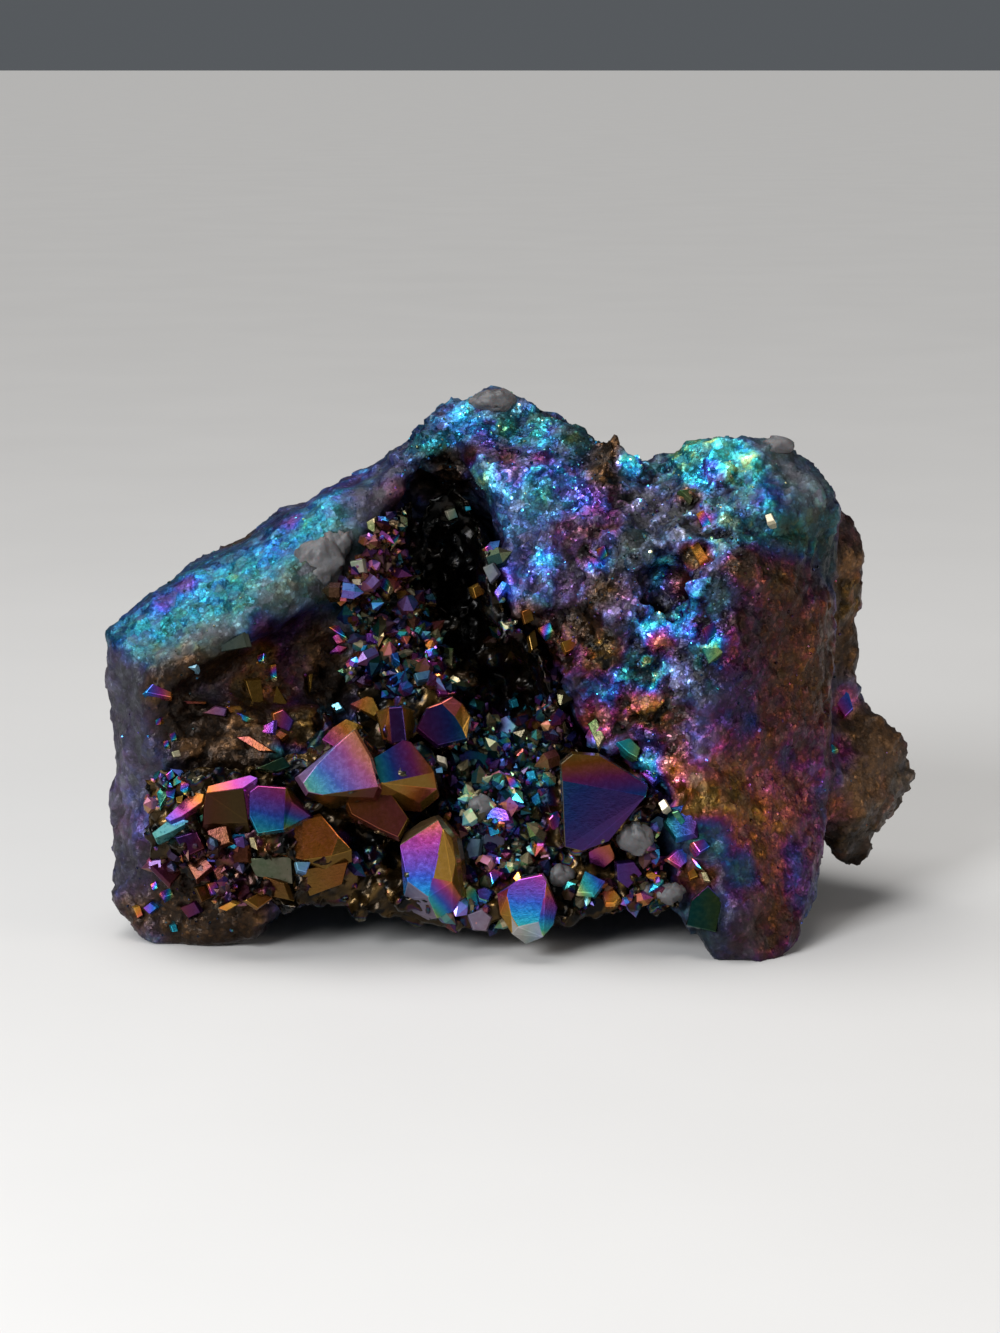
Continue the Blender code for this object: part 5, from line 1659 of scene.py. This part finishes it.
@dataclass
class CrystalBed:
    """The crust's ground, between and under its crystals."""

    cell: float = 0.42
    block_length: float = 2.4  # How long its coarse facets are
    block_rise: float = 0.45  # How far they stand out
    block_film: float = 1.5  # How far the film differs from one to the next
    grain_length: float = 1.1  # How long its fine facets are
    grain_rise: float = 0.3  # How far they stand out
    grain_film: float = 0.9  # How far the film differs from one to the next
    grain_light: Pair = (0.3, 1.4)  # The least light of one, and what chance adds to it
    film: float = 0.5  # The coating's thickness before these differences
    bare: float = 0.08
    ground_tone: float = 0.09  # How light the ground is outside the fields
    druse_light: float = 2.2  # How light the small crystals are for the ground
    field_edge: float = 1.6  # Where a field ends, in the measure of Field.away
    field_tone: float = 0.4  # How far a field's tone counts
    field_film: float = 0.8  # How far its colour counts
    hollow_edge: float = 0.6  # Where a hollow's painted shade begins to lift, in that measure
    hollow_rise: float = 2.0  # How fast it gets light from there
    great_reach: float = 1.1  # How far round a great crystal no small ones grow, for its own reach
    turned_away: float = 0.1  # How far a face with crystals may look away from the camera
    deep_from: float = -4.0  # The place along Y where the painted shade inside begins
    deep_length: float = 6.0  # How far from there to where it is darkest
    deep_shade: float = 0.85  # How much darker the painted shade makes it there

    def build(self) -> Piece:
        """Builds the ground over the crust's CAD solid.

        Returns:
            The ground.
        """
        bed = remeshed("crystal_crust", "crystal_bed", self.cell)
        mesh = bed.data
        points = points_of(mesh)
        normals = normals_of(mesh)
        coarse = np.array([facet(Vector(row), self.block_length, seed=71.0) for row in points])
        fine = np.array([facet(Vector(row), self.grain_length, seed=19.0) for row in points])
        rise = self.block_rise * coarse[:, 0] + self.grain_rise * fine[:, 0]
        moved = points + normals * rise[:, None]
        moved[:, 1] = np.maximum(moved[:, 1], points[:, 1].min())
        mesh.vertices.foreach_set("co", (moved * MM).ravel())
        mesh.update()
        film = self.film + self.block_film * (coarse[:, 1] - 0.5) + self.grain_film * (fine[:, 1] - 0.5)
        density, tone, film = self._fields(points, normals, film)
        light = self.grain_light[0] + self.grain_light[1] * fine[:, 1] ** 3
        write_attribute(mesh, "film", film)
        write_attribute(mesh, "tone", tone * light)
        write_attribute(mesh, "bare", np.full(len(points), self.bare))
        write_attribute(mesh, "druse", density)
        write_attribute(mesh, "druse_tone", tone * self.druse_light)
        mesh.shade_smooth()
        return bed

    def _fields(
        self, points: np.ndarray, normals: np.ndarray, film: np.ndarray
    ) -> tuple[np.ndarray, np.ndarray, np.ndarray]:
        """Lays the fields, the hollows' painted shade and the painted shade deep inside over the ground.

        Args:
            points: The ground's points, in millimetres.
            normals: Their normals.
            film: The coating's thickness outside the fields.

        Returns:
            How densely crystals grow at each point, how light it is there with its painted shade, and the
            coating's thickness.
        """
        spots = VIEW.pixels(points)
        density = np.zeros(len(points))
        tone = np.full(len(points), self.ground_tone)
        for field in DRUSE_FIELDS.values():
            share = np.clip(self.field_edge - field.away(spots), 0.0, 1.0)
            density = np.maximum(density, share * field.density)
            tone += share * (field.tone - self.ground_tone) * self.field_tone
            if field.film is not None:
                film = film + share * (field.film.value - film) * self.field_film
        # The hollows are painted dark as shade.
        for hollow in SHADED_HOLLOWS.values():
            out_of_shade = np.clip(self.hollow_rise * (hollow.away(spots) - self.hollow_edge), 0.0, 1.0)
            density *= out_of_shade
            tone = hollow.tone + (tone - hollow.tone) * out_of_shade
        for crystal in GREAT_CRYSTALS.values():
            away = np.linalg.norm(spots - np.array(crystal.middle()), axis=1)
            density[away < self.great_reach * crystal.reach()] = 0.0
        density[normals @ np.array(VIEW.back()) < -self.turned_away] = 0.0
        # Painted shade deep inside the crust.
        deep = np.clip((points[:, 1] - self.deep_from) / self.deep_length, 0.0, 1.0)
        return density, tone * (1.0 - self.deep_shade * deep), film

    def dress(self, bed: Piece, finish: bpy.types.Material) -> None:
        """Gives the ground its finish and its place in the frame.

        Args:
            bed: The ground.
            finish: Its material.
        """
        give_material(bed, finish)
        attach(bed, BODY)
        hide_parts("crystal_crust")


class Growth(Graph):
    """A node group that grows small crystals on a surface.

    Args:
        name: The group's name.
    """

    def __init__(self, name: str) -> None:
        self.tree = bpy.data.node_groups.new(name, "GeometryNodeTree")
        for way in ("INPUT", "OUTPUT"):
            self.tree.interface.new_socket("Geometry", in_out=way, socket_type="NodeSocketGeometry")

    def stored(self, name: str) -> "Signal":
        """The number that the surface stores under this name."""
        settings = {"data_type": "FLOAT"}
        return self.signal("GeometryNodeInputNamedAttribute", "Attribute", settings, {"Name": name})

    def chance(self, low: float, high: float, seed: int) -> "Signal":
        """A random number for each crystal, from low to high."""
        made = self.node("FunctionNodeRandomValue", {"data_type": "FLOAT"}, {2: low, 3: high, "Seed": seed})
        return Signal(self, made.outputs[1])

    def chances(self, reach: float, seed: int) -> Socket:
        """Three random numbers for each crystal, from -reach to reach."""
        inputs = {0: (-reach,) * 3, 1: (reach,) * 3, "Seed": seed}
        return self.node("FunctionNodeRandomValue", {"data_type": "FLOAT_VECTOR"}, inputs).outputs[0]


@dataclass
class SmallCrystals:
    """Small crystals grown all over a part of a surface."""

    name: str
    density: str  # The stored number that says how densely they grow
    light: str  # The stored number that says how light they are
    smallest: float
    largest: float
    most: float = 1.0  # The most that grow on a square millimetre
    spacing: float = 0.5  # The least distance between two of them
    lean: float = 0.6  # How far they lean from the surface's normal
    spread: float = 0.3  # How far their film differs from the surface's
    dimmest: float = 0.3  # How light the dimmest of them are for the surface
    glow: float = 4.5  # How much lighter than these the lightest are, as painted glints
    cloudy: float = 0.35  # The most that quartz shows through
    stretch: float = 0.3  # How far their length and breadth differ
    sunk: float = 0.35  # How far their shaft goes into the surface, for their width
    shaft: float = 0.3  # How far it stands out, for their width
    tip: float = 0.55  # How high the tip is above it
    tip_shift: Pair = (0.16, 0.06)  # How far the tip is off the middle
    rise: float = 1.0  # How tall they are for the usual shape
    seed: int = 5

    def point(self) -> Piece:
        """Builds one crystal point, 1 mm wide, with a lopsided tip.

        Returns:
            The crystal, outside the scene.
        """
        bm = bmesh.new()
        made = bmesh.ops.create_circle(bm, cap_ends=True, segments=6, radius=0.5 * MM)
        base = made["verts"][0].link_faces[0]
        bmesh.ops.translate(bm, verts=made["verts"], vec=(0.0, 0.0, -self.sunk * MM))
        shaft = bmesh.ops.extrude_face_region(bm, geom=[base])
        top = [item for item in shaft["geom"] if isinstance(item, bmesh.types.BMVert)]
        bmesh.ops.translate(bm, verts=top, vec=(0.0, 0.0, (self.sunk + self.shaft * self.rise) * MM))
        cap = next(item for item in shaft["geom"] if isinstance(item, bmesh.types.BMFace))
        peak = bmesh.ops.poke(bm, faces=[cap])["verts"]
        bmesh.ops.translate(bm, verts=peak, vec=Vector((*self.tip_shift, self.tip * self.rise)) * MM)
        bottom = [face for face in bm.faces if len(face.verts) == 6]
        bmesh.ops.delete(bm, geom=bottom, context="FACES")
        mesh = bpy.data.meshes.new("point")
        bm.to_mesh(mesh)
        bm.free()
        return bpy.data.objects.new("point", mesh)

    def build(self, surface: Piece) -> Piece:
        """Grows the crystals.

        Args:
            surface: What they grow on. It stores film, the light and the density.

        Returns:
            The crystals as one piece.
        """
        growth = Growth(self.name)
        inputs = {
            "Mesh": growth.node("NodeGroupInput").outputs["Geometry"],
            "Distance Min": self.spacing * MM,
            "Density Max": self.most / MM**2,
            "Density Factor": growth.stored(self.density),
            "Seed": self.seed,
        }
        spots = growth.node("GeometryNodeDistributePointsOnFaces", {"distribute_method": "POISSON"}, inputs)
        body = growth.node("GeometryNodeObjectInfo", None, {"Object": self.point()}).outputs["Geometry"]
        inputs = {
            "Points": spots.outputs["Points"],
            "Instance": body,
            "Rotation": self._rotation(growth, spots.outputs["Normal"]),
            "Scale": self._scale(growth),
        }
        grown = growth.node("GeometryNodeInstanceOnPoints", None, inputs).outputs["Instances"]
        settings = {"data_type": "FLOAT", "domain": "INSTANCE"}
        for key, value in self._looks(growth).items():
            inputs = {"Geometry": grown, "Name": key, "Value": value}
            grown = growth.node("GeometryNodeStoreNamedAttribute", settings, inputs).outputs["Geometry"]
        real = growth.node("GeometryNodeRealizeInstances", None, {"Geometry": grown}).outputs["Geometry"]
        growth.node("NodeGroupOutput", None, {"Geometry": real})
        piece = bpy.data.objects.new(self.name, surface.data.copy())
        bpy.context.scene.collection.objects.link(piece)
        piece.modifiers.new("growth", "NODES").node_group = growth.tree
        settle(piece)
        piece.data.shade_flat()
        return piece

    def _rotation(self, growth: Growth, normal: Socket) -> Socket:
        """Leans each crystal from the surface's normal and turns it on its own axis.

        Args:
            growth: The node group.
            normal: The surface's normal.

        Returns:
            The rotation.
        """
        heading = growth.vector("ADD", {0: normal, 1: growth.chances(self.lean, self.seed)})
        turned = growth.node("FunctionNodeAlignRotationToVector", {"axis": "Z"}, {"Vector": heading})
        angle = growth.chance(0.0, math.tau, self.seed + 1)
        around = growth.node("ShaderNodeCombineXYZ", None, {"Z": angle})
        twist = growth.node("FunctionNodeEulerToRotation", None, {0: around.outputs[0]})
        inputs = {"Rotation": turned.outputs[0], "Rotate By": twist.outputs[0]}
        return growth.node("FunctionNodeRotateRotation", {"rotation_space": "LOCAL"}, inputs).outputs[0]

    def _scale(self, growth: Growth) -> Socket:
        """Gives each crystal its size and proportions.

        Args:
            growth: The node group.

        Returns:
            The scale.
        """
        large = growth.chance(0.0, 1.0, self.seed + 2).power(2.0)
        size = large * (self.largest - self.smallest) + self.smallest
        shape = growth.vector("ADD", {0: growth.chances(self.stretch, self.seed + 5), 1: (1.0, 1.0, 1.0)})
        return growth.vector("SCALE", {0: shape, "Scale": size})

    def _looks(self, growth: Growth) -> dict[str, Signal]:
        """Gives each crystal its own colour; the rare lightest ones are painted glints. The powers make
        high numbers rare.

        Args:
            growth: The node group.

        Returns:
            The numbers to store, by name.
        """
        film = growth.chance(-self.spread, self.spread, self.seed + 3) + growth.stored("film")
        light = growth.chance(0.0, 1.0, self.seed + 4).power(4.0) * self.glow + self.dimmest
        bare = growth.chance(0.0, 1.0, self.seed + 6).power(2.0) * self.cloudy
        return {"film": film.folded(), "tone": light * growth.stored(self.light), "bare": bare}

    def dress(self, piece: Piece, finish: bpy.types.Material, slot: str) -> None:
        """Gives the crystals their finish and their place in the frame.

        Args:
            piece: The crystals.
            finish: Their material.
            slot: Not used.
        """
        give_material(piece, finish)
        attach(piece, BODY)


@dataclass(frozen=True)
class Lump:
    """A lump of milky quartz."""

    at: Pixel  # The pixel of its middle
    size: Triple  # Its half width, half depth and half height
    sunk: float  # How far its middle is behind the surface
    seed: float


MILKY_LUMPS = [
    Lump((319, 563), (2.9, 1.6, 2.9), 1.0, 1.0),
    Lump((336, 547), (1.9, 1.4, 2.0), 0.9, 4.0),
    Lump((480, 807), (1.5, 1.2, 1.2), 0.2, 7.0),
    Lump((561, 876), (1.5, 1.2, 1.4), 0.2, 2.0),
    Lump((648, 891), (1.2, 1.0, 1.0), 0.2, 9.0),
    Lump((671, 894), (1.5, 1.2, 1.4), 0.2, 5.0),
    Lump((636, 838), (2.2, 1.2, 1.9), 0.6, 3.0),
    Lump((493, 401), (2.6, 2.0, 1.3), 0.5, 6.0),
    Lump((779, 446), (1.8, 1.5, 1.0), 0.6, 8.0),
]


@dataclass
class MilkyQuartz:
    """The lumps of milky quartz that the coating hardly covers."""

    dent_length: float = 1.3  # How long the dents in them are
    dent_depth: float = 0.34
    fineness: int = 4  # How often their surface is divided

    def build(self, surface: BVHTree) -> Piece:
        """Builds the lumps as one piece.

        Args:
            surface: What they sit on.

        Returns:
            The lumps.
        """
        whole = bmesh.new()
        for lump in MILKY_LUMPS:
            ray = VIEW.sight(lump.at)
            spot, _, _, _ = surface.ray_cast(VIEW.eye() * MM, ray)
            if spot is None:
                LOG.warning("lump at %s misses the surface", lump.at)
                continue
            middle = spot / MM + ray * lump.sunk
            made = bmesh.ops.create_icosphere(whole, subdivisions=self.fineness, radius=1.0)
            for vert in made["verts"]:
                place = Vector(a * b for a, b in zip(vert.co, lump.size))
                dent, _ = facet(place + Vector((lump.seed, 0.0, 0.0)), self.dent_length, seed=3.0)
                vert.co = (middle + place + vert.co.normalized() * dent * self.dent_depth) * MM
        return link("milky_lumps", whole)

    def dress(self, piece: Piece) -> None:
        """Gives the lumps their finish and their place in the frame.

        Args:
            piece: The lumps.
        """
        piece.data.shade_smooth()
        give_material(piece, MilkyFinish().material())
        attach(piece, BODY)


# --------------------------------------------------------------------------- studio


class LampKind(Enum):
    """The kinds of light."""

    AREA = "AREA"
    SUN = "SUN"


@dataclass(frozen=True)
class Lamp:
    """A soft light that faces the specimen."""

    kind: LampKind
    place: Triple  # Where it hangs, in metres
    power: float
    colour: Triple
    width: float  # How wide it is: metres for an area, degrees for a sun


LAMPS = {
    "sky": Lamp(LampKind.SUN, (-0.10, 0.06, 0.4), 2.2, (1.0, 0.99, 0.97), 50.0),
    "left": Lamp(LampKind.AREA, (-0.26, -0.34, 0.26), 2.2, (0.96, 0.98, 1.0), 0.2),
    "right": Lamp(LampKind.AREA, (0.40, -0.22, 0.16), 0.5, (1.0, 0.93, 0.86), 0.2),
}


@dataclass
class Studio:
    """The pale floor, the soft lights and the camera."""

    floor_side: float = 60.0  # How wide the floor is, in metres
    world_light: float = 0.11
    world_colour: Triple = (0.85, 0.92, 1.0)
    middle: Triple = (0.0, 0.0, 0.025)  # The point that the lights face, in metres

    def build(self) -> None:
        """Sets the studio up."""
        VIEW.camera()
        bpy.context.scene.view_settings.view_transform = "Standard"
        bm = bmesh.new()
        bmesh.ops.create_grid(bm, x_segments=1, y_segments=1, size=0.5 * self.floor_side)
        floor = link("floor", bm)
        give_material(floor, FloorFinish().material())
        world = bpy.data.worlds.new("room")
        world.use_nodes = True
        background = world.node_tree.nodes["Background"]
        background.inputs["Color"].default_value = (*self.world_colour, 1.0)
        background.inputs["Strength"].default_value = self.world_light
        bpy.context.scene.world = world
        for name, lamp in LAMPS.items():
            self._hang(name, lamp)

    def _hang(self, name: str, lamp: Lamp) -> None:
        """Adds a light.

        Args:
            name: Its name.
            lamp: What it is like.
        """
        data = bpy.data.lights.new(name, lamp.kind.value)
        data.energy = lamp.power
        data.color = lamp.colour
        if lamp.kind is LampKind.SUN:
            data.angle = math.radians(lamp.width)
        else:
            data.size = lamp.width
        light = bpy.data.objects.new(name, data)
        bpy.context.scene.collection.objects.link(light)
        light.location = lamp.place
        light.rotation_mode = "QUATERNION"
        light.rotation_quaternion = (Vector(self.middle) - Vector(lamp.place)).to_track_quat("-Z", "Y")


def main() -> None:
    """Builds and dresses every piece in turn."""
    logging.basicConfig(level=logging.INFO, format="%(name)s: %(message)s")
    noise.seed_set(NOISE_SEED)
    Studio().build()
    quartz_wall = QuartzWall()
    wall = quartz_wall.build()
    quartz_wall.dress(wall)
    LOG.info("wall: %d faces", len(wall.data.polygons))
    crystal_finish = CoatedCrystalFinish().material()
    druse_finish = CoatedCrystalFinish("coated_druse", roughness=0.22, turn=0.25).material()
    surface = solid_surface()
    crystal_bed = CrystalBed()
    bed = crystal_bed.build()
    crystal_bed.dress(bed, druse_finish)
    LOG.info("bed: %d faces", len(bed.data.polygons))
    large = LargeCrystals()
    groups = {"great": list(GREAT_CRYSTALS.values()), "recess": RECESS_CRYSTALS, **SMALL_CRYSTALS}
    for place, crystals in groups.items():
        piece = large.build(f"{place}_crystals", crystals, surface)
        large.dress(piece, crystal_finish)
        LOG.info("%s crystals: %d faces", place, len(piece.data.polygons))
    druse = SmallCrystals("druse", "druse", "druse_tone", smallest=0.4, largest=1.9, most=2.0)
    points = druse.build(bed)
    druse.dress(points, druse_finish, "coated_crystals")
    LOG.info("druse: %d faces", len(points.data.polygons))
    # Their rare lightest grains are painted glints.
    grains = SmallCrystals(
        "wall_grains", "sparkle", "tone", smallest=0.16, largest=0.42, most=0.9, lean=0.9, spread=0.06,
        glow=6.0, cloudy=0.3, rise=0.5, seed=31,
    )
    specks = grains.build(wall)
    grains.dress(specks, druse_finish, "coated_wall")
    LOG.info("grains: %d faces", len(specks.data.polygons))
    milky = MilkyQuartz()
    lumps = milky.build(surface)
    milky.dress(lumps)
    LOG.info("milky lumps: %d faces", len(lumps.data.polygons))


if __name__ == "__main__":
    main()
